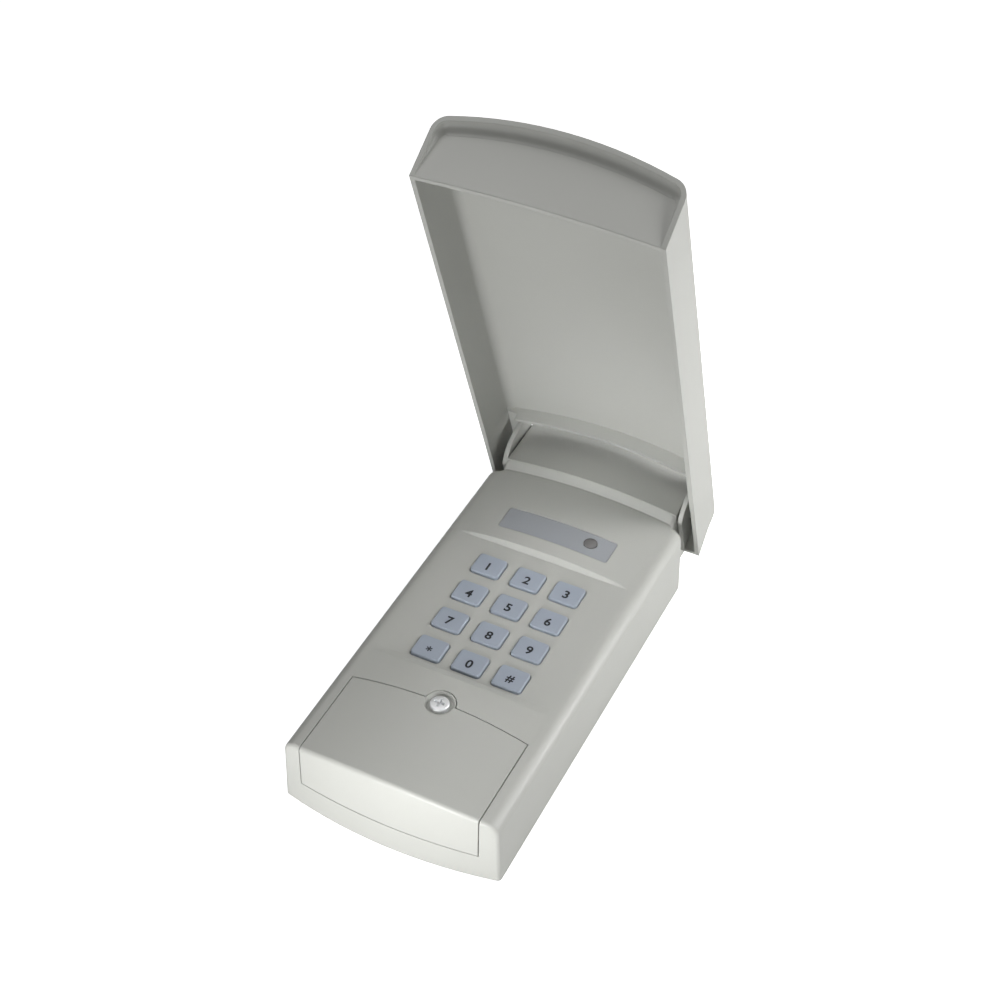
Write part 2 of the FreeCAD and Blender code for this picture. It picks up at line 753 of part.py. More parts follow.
CASE_SCREW_PLACES = CASE_BOSSES + BACK_BOSSES


def rear_cover():
    """Back plate with a keyhole above, a screw hole below and a cradle for the battery."""
    body = new_body("rear_cover")
    inset = "(size.wall + size.cover_gap)"
    drawn = sketch(body, "main_plate_plan", "XY_Plane")
    main_plan(drawn, inset, inset)
    pad(body, drawn, "main_plate", "size.cover_thickness", 1)
    drawn = sketch(body, "hinge_plate_plan", "XY_Plane")
    start = f"({SHOULDER} - {inset} - 1)"
    end = f"({FAR} - {inset})"
    rectangle(drawn, "0", f"({start} + {end}) / 2", f"size.block_width - 2 * {inset}", f"{end} - {start}")
    pad(body, drawn, "hinge_plate", "size.cover_thickness", 1)
    holes(body, "screw_clearance", CASE_SCREW_PLACES,
          "size.case_screw_shank_radius + 0.2", "0", BEYOND)
    head = "(size.case_screw_recess + size.case_screw_head_height)"
    holes(body, "screw_head_recesses", CASE_SCREW_PLACES, "size.case_screw_head_radius + 0.2", "0", head)
    holes(body, "lower_wall_hole", [("0", along("lower_hole_along"))], "size.lower_hole_radius", "0", BEYOND)
    # keyhole: a round mouth with a slot that runs up towards the hinge
    drawn = sketch(body, "keyhole_plan", "XY_Plane")
    slot = "(size.keyhole_slot_width / 2)"
    mouth = along("keyhole_along")
    meet = f"({mouth} + sqrt(size.keyhole_radius^2 - {slot}^2))"
    tip = f"({mouth} + size.keyhole_slot_length)"
    low = f"({mouth} - size.keyhole_radius)"
    right = f"({mouth})"
    corners = [
        ("0", low), ("size.keyhole_radius", right), (slot, meet), (slot, tip),
        (f"-{slot}", tip), (f"-{slot}", meet), ("-size.keyhole_radius", right),
    ]
    big = "size.keyhole_radius"
    outline(drawn, corners, {0: (big, -1), 1: (big, -1), 3: (f"({slot} * 1.0001)", -1), 5: (big, -1), 6: (big, -1)})
    pocket(body, drawn, "keyhole", BEYOND, 1)
    battery_cradle(body)


def battery_cradle(body):
    """Two low ribs that keep the battery off its neighbours."""
    thick = "size.cradle_thickness"
    left = f"(size.battery_left - 0.3 - {thick} / 2)"
    far = f"({along('battery_along')} + size.battery_width / 2 + 0.3 + {thick} / 2)"
    middle = along("battery_along")
    drawn = sketch(body, "end_rib_plan", "XY_Plane", "size.cover_thickness - 0.2")
    rectangle(drawn, left, middle, thick, "size.battery_width / 2")
    pad(body, drawn, "end_rib", "size.cradle_height + 0.2", 1)
    for side, sign in (("left", "-"), ("right", "")):
        drawn = sketch(body, f"{side}_rib_plan", "XY_Plane", "size.cover_thickness - 0.2")
        rectangle(drawn, f"{sign}size.battery_length / 4", far, "size.battery_length / 5", thick)
        pad(body, drawn, f"{side}_rib", "size.cradle_height + 0.2", 1)


def cross_recess(body, size, top, depth):
    """Crossed slots in a screw's head, cut from top downwards."""
    narrow = f"({size} * 0.28)"
    for name, wide, deep in (("slot_across", size, narrow), ("slot_along", narrow, size)):
        drawn = sketch(body, f"{name}_plan", "XY_Plane", f"({top}) - ({depth})")
        rectangle(drawn, "0", "0", wide, deep)
        pocket(body, drawn, name, f"{depth} + 2", 1)


def case_screws():
    """Six self-tapping screws that go in from the back."""
    master = new_body("case_screw_master", finished=False)
    low = "size.case_screw_recess"
    seat = f"({low} + size.case_screw_head_height)"
    tip = f"({seat} + size.case_screw_length)"
    head = "size.case_screw_head_radius"
    shank = "size.case_screw_shank_radius"
    corners = [
        ("0", low), (head, low), (head, seat), (shank, seat),
        (shank, f"{tip} - 1.2"), ("0.3", tip), ("0", tip),
    ]
    revolve(master, "screw", corners)
    for name, wide, deep in (("slot_across", "3", "0.8"), ("slot_along", "0.8", "3")):
        drawn = sketch(master, f"{name}_plan", "XY_Plane", low)
        rectangle(drawn, "0", "0", wide, deep)
        pocket(master, drawn, name, "0.9", 1)
    group("case_screws", master, CASE_SCREW_PLACES)


# ---------------------------------------------------------------- battery door

SCREW_SPOT = along("door_screw_along")


def battery_door():
    body = new_body("battery_door")
    case_form(body, False)
    gap = "size.door_gap"
    drawn = sketch(body, "trim_plan", "XY_Plane", "-5")
    door_outline(drawn, gap)
    rectangle(drawn, "0", "0", "300", "400")
    pocket(body, drawn, "side_trim", "80", 1)
    drawn = sketch(body, "sill_plan", "XY_Plane", "-5")
    rectangle(drawn, "0", "0", "290", "390")
    pocket(body, drawn, "sill_trim", f"size.door_sill + {gap} + 5", 1)
    # behind the end wall only the face plate stays
    drawn = sketch(body, "behind_wall_plan", "XY_Plane", "-5")
    half = INNER_HALF
    corners = [(f"-{half}", INNER_NEAR), (half, INNER_NEAR), (half, BEYOND), (f"-{half}", BEYOND)]
    outline(drawn, corners, {0: (INNER_RADIUS, -1)})
    pocket(body, drawn, "behind_wall", f"{UNDERSIDE} + 0.05 + 5", 1)
    start = f"({INNER_NEAR} + size.wall)"
    end = f"({along('door_side_length')} - size.ledge_width - 1.5)"
    inside = "(size.door_width / 2 - size.ledge_width - 1)"
    drawn = crowned_section(body, "relief_section", start, "size.door_sill", inside, inside,
                            "size.case_height - size.door_plate")
    pocket(body, drawn, "plate_relief", f"{end} - {start}", 1)
    # thin tongue that drops behind the end wall's rim
    drawn = sketch(body, "tongue_plan", "XY_Plane", "size.door_sill - size.door_tongue_depth")
    wide = "size.door_tongue_half_width"
    outer = inner_near_y(wide, "(size.near_wall - size.door_tongue_thickness)")
    inner = inner_near_y(wide, "size.near_wall")
    corners = [(f"-{wide}", outer), (wide, outer), (wide, inner), (f"-{wide}", inner)]
    outline(drawn, corners, {0: (INNER_RADIUS, -1), 2: (INNER_RADIUS, 1)})
    pad(body, drawn, "tongue", f"size.door_tongue_depth + {gap} + 2", 1)
    # dished seat and hole for the screw
    spot = [("0", SCREW_SPOT)]
    drawn = sketch(body, "seat_profile", "XZ_Plane", SCREW_SPOT)
    seat = "size.door_seat_height"
    reach = "size.door_seat_radius"
    over = "2"
    outline(drawn, [("0", seat), (reach, seat), (f"{reach} + {over} * size.door_seat_flare", f"{seat} + {over}"),
                    ("0", f"{seat} + {over}")])
    made, before = feature(body, "PartDesign::Groove", "screw_seat", Profile=drawn)
    made.ReferenceAxis = (drawn, ["V_Axis"])
    made.Angle = 360
    finish(body, made, before)
    holes(body, "screw_hole", spot, "size.door_screw_shank_radius + 0.25", "0", BEYOND)


def door_screw():
    body = new_body("door_screw")
    seat = "size.door_seat_height"
    head = "size.door_screw_head_radius"
    shank = "size.door_screw_shank_radius"
    edge = f"({seat} + 0.5)"
    top = f"({seat} + size.door_screw_head_height)"
    tip = f"({seat} - size.door_screw_length)"
    corners = [
        ("0", tip), ("0.3", tip), (shank, f"{tip} + 1.2"), (shank, seat), (head, seat),
        (head, edge), (f"{head} - 0.9", top), ("0", top),
    ]
    revolve(body, "screw", corners)
    cross_recess(body, "3.0", top, "0.9")
    place(body, "0", SCREW_SPOT)


# ---------------------------------------------------------------- label and status light


def label_plate():
    body = new_body("label_plate")
    gap = "size.label_gap"
    depth = f"(size.label_depth - 2 * {gap})"
    width = f"(size.label_width - 2 * {gap})"
    top = "(size.label_recess - size.label_thickness)"
    drawn = label_profile(body, "plate_section", width, depth, "(size.label_recess - 0.01)", top)
    pad(body, drawn, "plate", depth, 1)
    thin = value("size.label_thickness") * 1.5
    fillet(body, "plate_corners", f"(size.label_corner - {gap})",
           lambda box: box.XLength < 0.01 and box.YLength < 0.01 and box.ZLength < thin)
    spot = [("size.light_across", along("light_along"))]
    holes(body, "light_window", spot, "size.lens_radius + 0.2", "0", BEYOND)


def indicator_lens():
    """Smoked dome over the status light, with a flange under the case."""
    body = new_body("indicator_lens")
    ceiling = crown_z("size.light_across + size.lens_flange_radius", "(size.case_height - size.wall)")
    flange_top = f"({ceiling} - 0.05)"
    low = f"({flange_top} - size.lens_flange_height)"
    face = crown_z("size.light_across", "size.case_height")
    radius = "size.lens_radius"
    corners = [
        ("0", low), ("size.lens_flange_radius", low), ("size.lens_flange_radius", flange_top),
        (radius, flange_top), (radius, face), ("0", f"{face} + size.lens_dome_height"),
    ]
    revolve(body, "lens", corners, {4: (arc_radius(radius, "size.lens_dome_height"), -1)})
    place(body, "size.light_across", along("light_along"))


def indicator_led():
    body = new_body("indicator_led")
    low = "size.board_top"
    top = f"({low} + size.led_height)"
    radius = "size.led_radius"
    flange = "size.led_flange_radius"
    corners = [
        ("0", low), (flange, low), (flange, f"{low} + 1"), (radius, f"{low} + 1"),
        (radius, f"{top} - 0.6"), (f"{radius} - 0.6", top), ("0", top),
    ]
    revolve(body, "led", corners)
    place(body, "size.light_across", along("light_along"))


# ---------------------------------------------------------------- keys, mat and contacts

KEY_NAMES = [
    ["key_1", "key_2", "key_3"],
    ["key_4", "key_5", "key_6"],
    ["key_7", "key_8", "key_9"],
    ["key_star", "key_0", "key_hash"],
]


def key_x(column):
    return f"({column - 1} * size.key_pitch_across)"


def key_y(row):
    return f"({along('keys_centre')} + ({1.5 - row}) * size.key_pitch_along)"


def keys():
    """Twelve rubber keys: a block that fills its opening and a foot that meets the contacts."""
    top = "(size.keypad_floor + size.key_proud)"
    foot = "(size.board_top + size.contact_thickness + size.key_travel + 0.05)"
    for row, names in enumerate(KEY_NAMES):
        for column, name in enumerate(names):
            body = new_body(name)
            drawn = sketch(body, "block_plan", "XY_Plane", "size.key_body_bottom")
            rectangle(drawn, "0", "0", "size.key_width", "size.key_depth", "size.key_corner")
            pad(body, drawn, "block", f"{top} - size.key_body_bottom", 1)
            high = value(top) - 0.01
            chamfer(body, "soft_top", "size.key_edge", lambda box: box.ZMin > high)
            drawn = sketch(body, "foot_plan", "XY_Plane", foot)
            circle(drawn, "0", "0", "size.key_foot_radius")
            pad(body, drawn, "foot", f"size.key_body_bottom - {foot} + 0.1", 1)
            place(body, key_x(column), key_y(row))


def keypad_mat():
    """Rubber sheet on the board with a raised collar round each key."""
    body = new_body("keypad_mat")
    drawn = sketch(body, "sheet_plan", "XY_Plane", "size.board_top")
    rectangle(drawn, "0", along("keys_centre"), "size.mat_width", "size.mat_depth", "2")
    pad(body, drawn, "sheet", "size.mat_thickness", 1)
    inner_w = "(size.key_width + 2 * size.mat_gap)"
    inner_d = "(size.key_depth + 2 * size.mat_gap)"
    wall = "2 * size.mat_collar_wall"
    first_y = key_y(3)
    drawn = sketch(body, "first_collar_plan", "XY_Plane", "size.board_top + size.mat_thickness - 0.1")
    rectangle(drawn, key_x(0), first_y, f"{inner_w} + {wall}", f"{inner_d} + {wall}")
    collar = pad(body, drawn, "first_collar", "size.mat_collar_height + 0.1", 1)
    span = ("2 * size.key_pitch_across", "3 * size.key_pitch_along", (3, 4))
    grid(body, collar, "collars", *span)
    drawn = sketch(body, "first_well_plan", "XY_Plane", "size.board_top - 1")
    rectangle(drawn, key_x(0), first_y, inner_w, inner_d, "1.2")
    well = pocket(body, drawn, "first_well", "10", 1)
    grid(body, well, "wells", *span)


def key_contacts():
    """Carbon pads printed on the board, one under each key."""
    master = new_body("contact_master", finished=False)
    drawn = sketch(master, "contact_plan", "XY_Plane", "size.board_top")
    rectangle(drawn, "0", "0", "size.contact_size", "size.contact_size")
    pad(master, drawn, "contact", "size.contact_thickness", 1)
    spots = [(key_x(column), key_y(row)) for row in range(4) for column in range(3)]
    group("key_contacts", master, spots)


# ---------------------------------------------------------------- circuit board and its parts

BOARD_BOTTOM = "(size.board_top - size.board_thickness)"


def circuit_board():
    body = new_body("circuit_board")
    drawn = sketch(body, "board_plan", "XY_Plane", BOARD_BOTTOM)
    middle = f"({along('board_start')} + {along('board_end')}) / 2"
    rectangle(drawn, "0", middle, "size.board_width", "size.board_end - size.board_start", "1.5")
    pad(body, drawn, "board", "size.board_thickness", 1)
    holes(body, "mounting_holes", POSTS, "size.board_screw_shank_radius + 0.3", "0", BEYOND)


def board_screws():
    master = new_body("board_screw_master", finished=False)
    seat = BOARD_BOTTOM
    low = f"({seat} - size.board_screw_head_height)"
    tip = f"({seat} + size.board_screw_length)"
    head = "size.board_screw_head_radius"
    shank = "size.board_screw_shank_radius"
    corners = [("0", low), (head, low), (head, seat), (shank, seat), (shank, tip), ("0", tip)]
    revolve(master, "screw", corners)
    group("board_screws", master, POSTS)


def chip(name, x, y, length, width, height, leads, pitch):
    """A moulded chip under the board with a row of bent leads along each side."""
    body = new_body(name)
    drawn = sketch(body, "package_plan", "XY_Plane", "0")
    rectangle(drawn, "0", "0", length, width)
    pad(body, drawn, "package", height, -1)
    for side, sign in (("near", "-"), ("far", "")):
        drawn = sketch(body, f"{side}_lead_plan", "XY_Plane", "0.15")
        span = f"({leads} - 1) * {pitch}"
        rectangle(drawn, f"-({span}) / 2", f"{sign}({width} / 2 + 0.35)", "0.45", "0.9")
        first = pad(body, drawn, f"first_{side}_lead", "1.1", -1)
        made, before = feature(body, "PartDesign::LinearPattern", f"{side}_leads", Originals=[first])
        made.Direction = (origin_item(body, "X_Axis"), [""])
        made.setExpression("Length", span)
        made.Occurrences = leads
        body.Tip = made
        finish(body, made, before)
    place(body, x, y, f"{BOARD_BOTTOM} - 0.15")


def board_parts():
    chip("controller_chip", "-4", f"{along('keys_centre')} - 6", "11.6", "7.4", "2.4", 9, "1.27")
    chip("memory_chip", "10", f"{along('keys_centre')} - 4", "5.0", "3.9", "1.6", 4, "1.27")
    resonator = new_body("clock_resonator")
    drawn = sketch(resonator, "resonator_plan", "XY_Plane", "0")
    rectangle(drawn, "0", "0", "8", "3.4", "1.2")
    pad(resonator, drawn, "resonator", "4.5", -1)
    place(resonator, "-16", f"{along('keys_centre')} - 6", BOARD_BOTTOM)
    can = new_body("saw_resonator")
    corners = [("0", "0"), ("4.7", "0"), ("4.7", "0.6"), ("4.1", "0.6"), ("4.1", "3.1"), ("3.8", "3.4"), ("0", "3.4")]
    revolve(can, "metal_can", corners)
    place(can, "-3", f"{along('keys_centre')} + 33", "size.board_top")
    capacitor = new_body("smoothing_capacitor")
    corners = [("0", "0"), ("3.1", "0"), ("3.1", "-5.6"), ("2.8", "-5.9"), ("0", "-5.9")]
    revolve(capacitor, "capacitor", corners)
    place(capacitor, "14", f"{along('keys_centre')} + 12", BOARD_BOTTOM)
    master = new_body("resistor_master", finished=False)
    drawn = sketch(master, "resistor_plan", "XY_Plane", BOARD_BOTTOM)
    rectangle(drawn, "0", "0", "2", "1.25")
    pad(master, drawn, "resistor", "0.5", -1)
    spots = [(f"{x}", f"{along('keys_centre')} + {y}") for x in ("-14", "-10", "-6", "-2") for y in ("4", "8")]
    group("chip_resistors", master, spots)


# ---------------------------------------------------------------- wires


def bent_wire(name, points, bend, radius):
    """A round wire along straight runs joined by tangent arcs of one bend radius."""
    edges = []
    start = points[0]
    for before, corner, after in zip(points, points[1:], points[2:]):
        back = (before - corner).normalize()
        on = (after - corner).normalize()
        half_turn = back.getAngle(on) / 2
        cut = bend / math.tan(half_turn)
        middle = corner + (back + on).normalize() * (bend / math.sin(half_turn) - bend)
        edges.append(Part.LineSegment(start, corner + back * cut).toShape())
        edges.append(Part.Arc(corner + back * cut, middle, corner + on * cut).toShape())
        start = corner + on * cut
    edges.append(Part.LineSegment(start, points[-1]).toShape())
    path = Part.Wire(edges)
    ring = Part.Wire(Part.Circle(points[0], points[1] - points[0], radius).toShape())
    made = doc.addObject("Part::Feature", name)
    made.Label = name
    made.Shape = Part.Solid(path.makePipe(Part.Face(ring)).Shells[0])
    made.Placement = FreeCAD.Placement()
    length = sum(edge.Length for edge in edges)
    print(name, "length", round(length, 1), "share of section times length",
          round(made.Shape.Volume / (math.pi * radius**2 * length), 4))
    parts[name] = made


def wires():
    bottom = value(BOARD_BOTTOM)
    radius = value("size.lead_radius")
    bend = value("size.lead_bend")
    x = value("size.battery_left + size.battery_length + size.snap_gap + size.snap_thickness / 2")
    y = value(f"{along('battery_along')} + size.snap_depth / 2")
    board = value(along("board_start"))
    middle = value("size.cover_thickness + size.battery_lift + size.battery_height / 2")
    for name, up, inset in (("red_lead", 1.2, 2.2), ("black_lead", -2.4, 5.4)):
        z = middle + up - 2
        turn = board + inset
        points = [V(x, y, z), V(x, turn, z), V(x, turn, bottom)]
        bent_wire(name, points, min(bend, bottom - z - 0.3), radius)
    # antenna: a loop of stiff wire that stands on the board under the label
    top = value("size.board_top")
    low_y = value(f"{along('keys_centre')} + 30")
    wide = 17.0
    deep = 11.0
    high = 3.6
    left = -25.5
    points = [
        V(left + wide, low_y, top), V(left + wide, low_y, top + high), V(left, low_y, top + high),
        V(left, low_y + deep, top + high), V(left + wide, low_y + deep, top + high),
        V(left + wide, low_y + deep, top),
    ]
    bent_wire("antenna_loop", points, 1.6, 0.5)


# ---------------------------------------------------------------- battery and snap

BATTERY_BOTTOM = "(size.cover_thickness + size.battery_lift)"
BATTERY_MIDDLE = f"({BATTERY_BOTTOM} + size.battery_height / 2)"
BATTERY_END = "(size.battery_left + size.battery_length)"
STUDS = [
    ("small", "size.small_stud_radius", f"({along('battery_along')} - size.stud_spacing / 2)"),
    ("large", "size.large_stud_radius", f"({along('battery_along')} + size.stud_spacing / 2)"),
]


def battery():
    body = new_body("battery")
    drawn = sketch(body, "battery_plan", "XY_Plane", BATTERY_BOTTOM)
    middle = "(size.battery_left + size.battery_length / 2)"
    rectangle(drawn, middle, along("battery_along"), "size.battery_length", "size.battery_width")
    pad(body, drawn, "block", "size.battery_height", 1)
    length = value("size.battery_length")
    fillet(body, "long_edges", "size.battery_corner", lambda box: box.XLength > length - 0.1)


def battery_terminals():
    """Two press studs on the battery's end face."""
    solids = []
    for name, radius, y in STUDS:
        stud = Part.makeCylinder(
            value(radius), value("size.stud_height"),
            V(value(BATTERY_END), value(y), value(BATTERY_MIDDLE)), V(1, 0, 0),
        )
        rim = [edge for edge in stud.Edges if edge.BoundBox.XLength < 0.01]
        rim.sort(key=lambda edge: edge.BoundBox.XMin)
        solids.append(stud.makeChamfer(0.5, [rim[-1]]))
    made = doc.addObject("Part::Feature", "battery_terminals")
    made.Label = "battery_terminals"
    made.Shape = Part.makeCompound(solids)
    parts["battery_terminals"] = made


def battery_snap():
    """Soft connector that caps both studs."""
    body = new_body("battery_snap")
    face = f"({BATTERY_END} + size.snap_gap)"
    drawn = sketch(body, "snap_section", "YZ_Plane", face)
    rectangle(drawn, along("battery_along"), BATTERY_MIDDLE, "size.snap_depth", "size.snap_height", "3")
    pad(body, drawn, "shell", "size.snap_thickness", 1)
    for name, radius, y in STUDS:
        drawn = sketch(body, f"{name}_socket_section", "YZ_Plane", f"{face} - 1")
        circle(drawn, y, BATTERY_MIDDLE, f"{radius} + size.snap_gap")
        pocket(body, drawn, f"{name}_socket", "1 + size.stud_height", 1)
    outer = value(f"{face} + size.snap_thickness") - 0.01
    chamfer(body, "soft_back", "0.8", lambda box: box.XMin > outer)


def battery_pad():
    """Foam strip under the door that keeps the battery from rattling."""
    body = new_body("battery_pad")
    top = "(size.case_height - size.door_plate - 0.05)"
    drawn = crowned_section(body, "foam_section", f"{along('battery_along')} - 5",
                            f"{top} - size.pad_thickness", "13", "13", top,
                            "(size.crown_radius - size.door_plate)")
    pad(body, drawn, "foam", "10", 1)


# ---------------------------------------------------------------- weather lid

LID_FREE = f"({NEAR} - size.lid_reach)"
LID_HALF = "(size.lid_width / 2)"
LID_BROW = "(size.lid_brow_width / 2)"
STOP_IN = along("lid_stop_wall")
STOP_OUT = f"({STOP_IN} + size.lid_wall - 0.2)"
EAR_END = f"({HINGE} + size.ear_back)"
CHEEK_IN = f"({BLOCK_HALF} + size.cheek_gap)"
CHEEK_OUT = f"({CHEEK_IN} + size.lid_wall)"
RIM = "size.lid_rim_height"


def lid_slopes(body, name, half, slope, offset, way):
    """Cut away all that lies beyond a sloped and bowed end, through a ruled loft."""
    sections = []
    for label, z in (("low", f"({RIM} - 4)"), ("high", "(size.lid_top_height + 4)")):
        end = f"({LID_FREE} + {offset} - ({z} - {RIM}) * {slope})"
        sections.append(arched_end(body, f"{name}_{label}", z, half, end, "size.lid_end_bow", way))
    loft(body, "PartDesign::SubtractiveLoft", sections, name)


def ear_profile(drawn, inset):
    """Side view of what lies beyond the lid's sloped back: a straight slope and a round turn to the top."""
    end = f"({EAR_END} - {inset})"
    foot = f"({end} + 4 * size.ear_back_slope)"
    turn = f"({end} - (size.ear_turn_height - {RIM}) * size.ear_back_slope)"
    top_y = f"({turn} - size.ear_top_run)"
    top_z = f"(size.ear_top_height - {inset})"
    corners = [
        (foot, f"{RIM} - 4"), (turn, "size.ear_turn_height"), (top_y, top_z),
        (top_y, BEYOND), (f"{end} + 40", BEYOND), (f"{end} + 40", f"{RIM} - 4"),
    ]
    outline(drawn, corners, {1: ("size.ear_turn_radius", -1)})


def lid_shell():
    """Outside of the lid: crowned top, rounded brows, sloped ends and two ears."""
    body = new_body("lid_shell", finished=False)
    start = f"({LID_FREE} - 12)"
    drawn = crowned_section(body, "lid_section", start, RIM, LID_HALF, LID_BROW, "size.lid_top_height")
    pad(body, drawn, "crowned_tray", f"{EAR_END} - {start}", 1)
    brow = value(LID_BROW)
    fillet(body, "lid_brows", "size.lid_brow_radius",
           lambda box: box.YLength > 100 and box.ZMin > 20 and abs(box.XMax) > brow - 1)
    lid_slopes(body, "lip_end", f"{LID_HALF} + 1", "size.lip_slope", "0", -1)
    drawn = sketch(body, "ear_back_profile", "YZ_Plane", "-50")
    ear_profile(drawn, "0")
    pocket(body, drawn, "ear_backs", "100", 1)
    # the top stops short of the hinge block, between the two ears
    drawn = sketch(body, "notch_plan", "XY_Plane", "0")
    middle = f"({STOP_OUT} + {EAR_END} + 5) / 2"
    rectangle(drawn, "0", middle, f"2 * {CHEEK_IN}", f"{EAR_END} + 5 - {STOP_OUT}")
    pocket(body, drawn, "notch", BEYOND, 1)
    for side, sign, way in (("left", "-", -1), ("right", "", 1)):
        # inside of the ear, between its outer wall and its cheek
        drawn = sketch(body, f"{side}_ear_profile", "YZ_Plane", f"{sign}{CHEEK_OUT}")
        end = f"({EAR_END} - size.lid_wall)"
        turn = f"({end} - (size.ear_turn_height - {RIM}) * size.ear_back_slope)"
        high = "size.ear_inside_height"
        foot = f"({end} + 4 * size.ear_back_slope)"
        front = f"({STOP_IN} - 2)"
        corners = [
            (front, f"{RIM} - 4"), (foot, f"{RIM} - 4"), (turn, "size.ear_turn_height"),
            (f"{turn} - 3.4", high), (front, high),
        ]
        outline(drawn, corners)
        pocket(body, drawn, f"{side}_ear_inside", f"{LID_HALF} - size.ear_wall - {CHEEK_OUT}", way)
        # the cheek ends in a round that follows the axle
        drawn = sketch(body, f"{side}_cheek_profile", "YZ_Plane", f"{sign}({CHEEK_IN} - 0.5)")
        front_edge = f"({HINGE} - size.cheek_radius)"
        drop = f"(size.hinge_height - {RIM} + 1)"
        low_y = f"({HINGE} - sqrt(size.cheek_radius^2 - {drop}^2))"
        corners = [
            (f"{STOP_OUT} - 0.1", f"{RIM} - 1"), (low_y, f"{RIM} - 1"), (front_edge, "size.hinge_height"),
            (front_edge, "size.lid_stop_height"), (f"{STOP_OUT} - 0.1", "size.lid_stop_height"),
        ]
        outline(drawn, corners, {1: ("size.cheek_radius", 1)})
        pocket(body, drawn, f"{side}_cheek_edge", "size.lid_wall + 0.6", way)
        drawn = sketch(body, f"{side}_bore_section", "YZ_Plane", f"{sign}({CHEEK_IN} - 1)")
        circle(drawn, HINGE, "size.hinge_height", "size.axle_radius + size.axle_gap")
        pocket(body, drawn, f"{side}_bore", "size.lid_wall + 1.5", way)
    # the wall that comes down in front of the ridge is cut to follow the crown
    drawn = crowned_section(body, "stop_wall_section", f"{STOP_IN} - 0.1", "0", CHEEK_OUT, CHEEK_OUT,
                            "size.lid_stop_height")
    pocket(body, drawn, "stop_wall_edge", "size.lid_wall + 0.2", 1)
    return body


def lid_room(name, start, end):
    """A block that fills the lid's inside section, for hollowing it out."""
    body = new_body(name, finished=False)
    half = f"({LID_HALF} - size.lid_wall)"
    brow = f"({LID_BROW} - size.lid_wall)"
    drawn = crowned_section(body, "room_section", start, f"{RIM} - 5", half, brow,
                            "size.lid_top_height - size.lid_wall", "(size.crown_radius - size.lid_wall)")
    pad(body, drawn, "room", f"{end} - {start}", 1)
    brow_x = value(brow)
    fillet(body, "room_brows", "size.lid_inner_radius",
           lambda box: box.YLength > 10 and box.ZMin > 20 and abs(box.XMax) > brow_x - 1)
    return body


def weather_lid():
    """Lid: the shell less its hollow and less the finger recess outside its sloped end web."""
    shell = lid_shell()
    hollow = lid_room("lid_hollow", f"({LID_FREE} - 14)", STOP_IN)
    half = f"{LID_HALF} + 1"
    lid_slopes(hollow, "web_inside", half, "size.web_slope", "size.lid_wall * 1.02", -1)
    recess = lid_room("finger_recess", f"({LID_FREE} - 14)", f"({LID_FREE} + 6)")
    lid_slopes(recess, "web_outside", half, "size.web_slope", "0", 1)
    open_tray = doc.addObject("Part::Cut", "open_tray")
    open_tray.Base = shell
    open_tray.Tool = hollow
    lid = doc.addObject("Part::Cut", "weather_lid")
    lid.Base = open_tray
    lid.Tool = recess
    lid.Label = "weather_lid"
    doc.recompute()
    axis_point = V(0, value(HINGE), value("size.hinge_height"))
    turn = FreeCAD.Rotation(V(1, 0, 0), -value("size.lid_open_angle"))
    lid.Placement = FreeCAD.Placement(axis_point - turn.multVec(axis_point), turn)
    parts["weather_lid"] = lid


# ---------------------------------------------------------------- build, check and write

front_case()
rear_cover()
case_screws()
battery_door()
door_screw()
label_plate()
indicator_lens()
indicator_led()
keys()
keypad_mat()
key_contacts()
circuit_board()
board_screws()
board_parts()
wires()
battery()
battery_terminals()
battery_snap()
battery_pad()
weather_lid()
doc.recompute()

for item in doc.Objects:
    if "Invalid" in item.State or "Error" in item.State:
        raise RuntimeError(f"{item.Label} is {item.State}")
for name, item in parts.items():
    if item.Shape.isNull() or not item.Shape.isValid():
        raise RuntimeError(f"{name} has no valid shape")

os.makedirs("parts", exist_ok=True)
for name, item in parts.items():
    item.Shape.exportStep(f"parts/{name}.step")
    print(name, len(item.Shape.Solids), "solid(s)", round(item.Shape.Volume, 1), "mm3")
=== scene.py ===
import json
import math

import bmesh
import bpy
import numpy as np
from mathutils import Matrix, Vector


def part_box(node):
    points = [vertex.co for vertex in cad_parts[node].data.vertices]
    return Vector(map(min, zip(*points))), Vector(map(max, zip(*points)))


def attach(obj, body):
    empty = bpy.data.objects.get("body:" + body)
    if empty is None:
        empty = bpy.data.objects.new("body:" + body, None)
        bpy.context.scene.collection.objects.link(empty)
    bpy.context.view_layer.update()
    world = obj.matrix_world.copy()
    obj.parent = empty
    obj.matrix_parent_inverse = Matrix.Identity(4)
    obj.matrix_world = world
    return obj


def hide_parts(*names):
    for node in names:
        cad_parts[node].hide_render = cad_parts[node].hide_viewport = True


# Wireless entry keypad with its weather lid open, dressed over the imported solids. Metres.

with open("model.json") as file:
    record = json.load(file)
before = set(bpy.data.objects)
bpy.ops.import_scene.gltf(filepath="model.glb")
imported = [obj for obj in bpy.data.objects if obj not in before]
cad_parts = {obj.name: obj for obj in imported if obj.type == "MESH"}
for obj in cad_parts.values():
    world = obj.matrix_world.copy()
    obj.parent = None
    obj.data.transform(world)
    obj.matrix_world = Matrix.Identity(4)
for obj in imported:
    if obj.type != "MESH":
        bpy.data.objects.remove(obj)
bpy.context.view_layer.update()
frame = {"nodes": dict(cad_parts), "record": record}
MM = 0.001

# ---------------------------------------------------------------- front case
# The front case is one injection moulding in warm light-grey ABS with a fine satin spark texture.
# Six screws from behind pull it onto the rear cover, and stub axles at its far end carry the lid.

SATIN_GREY = (0.462, 0.467, 0.44, 1)
CLOUDS_PER_METRE = 45
MICROMETRE = 1e-6


def shader(material):
    """The node that holds a material's colour, gloss and metal."""
    return material.node_tree.nodes["Principled BSDF"]


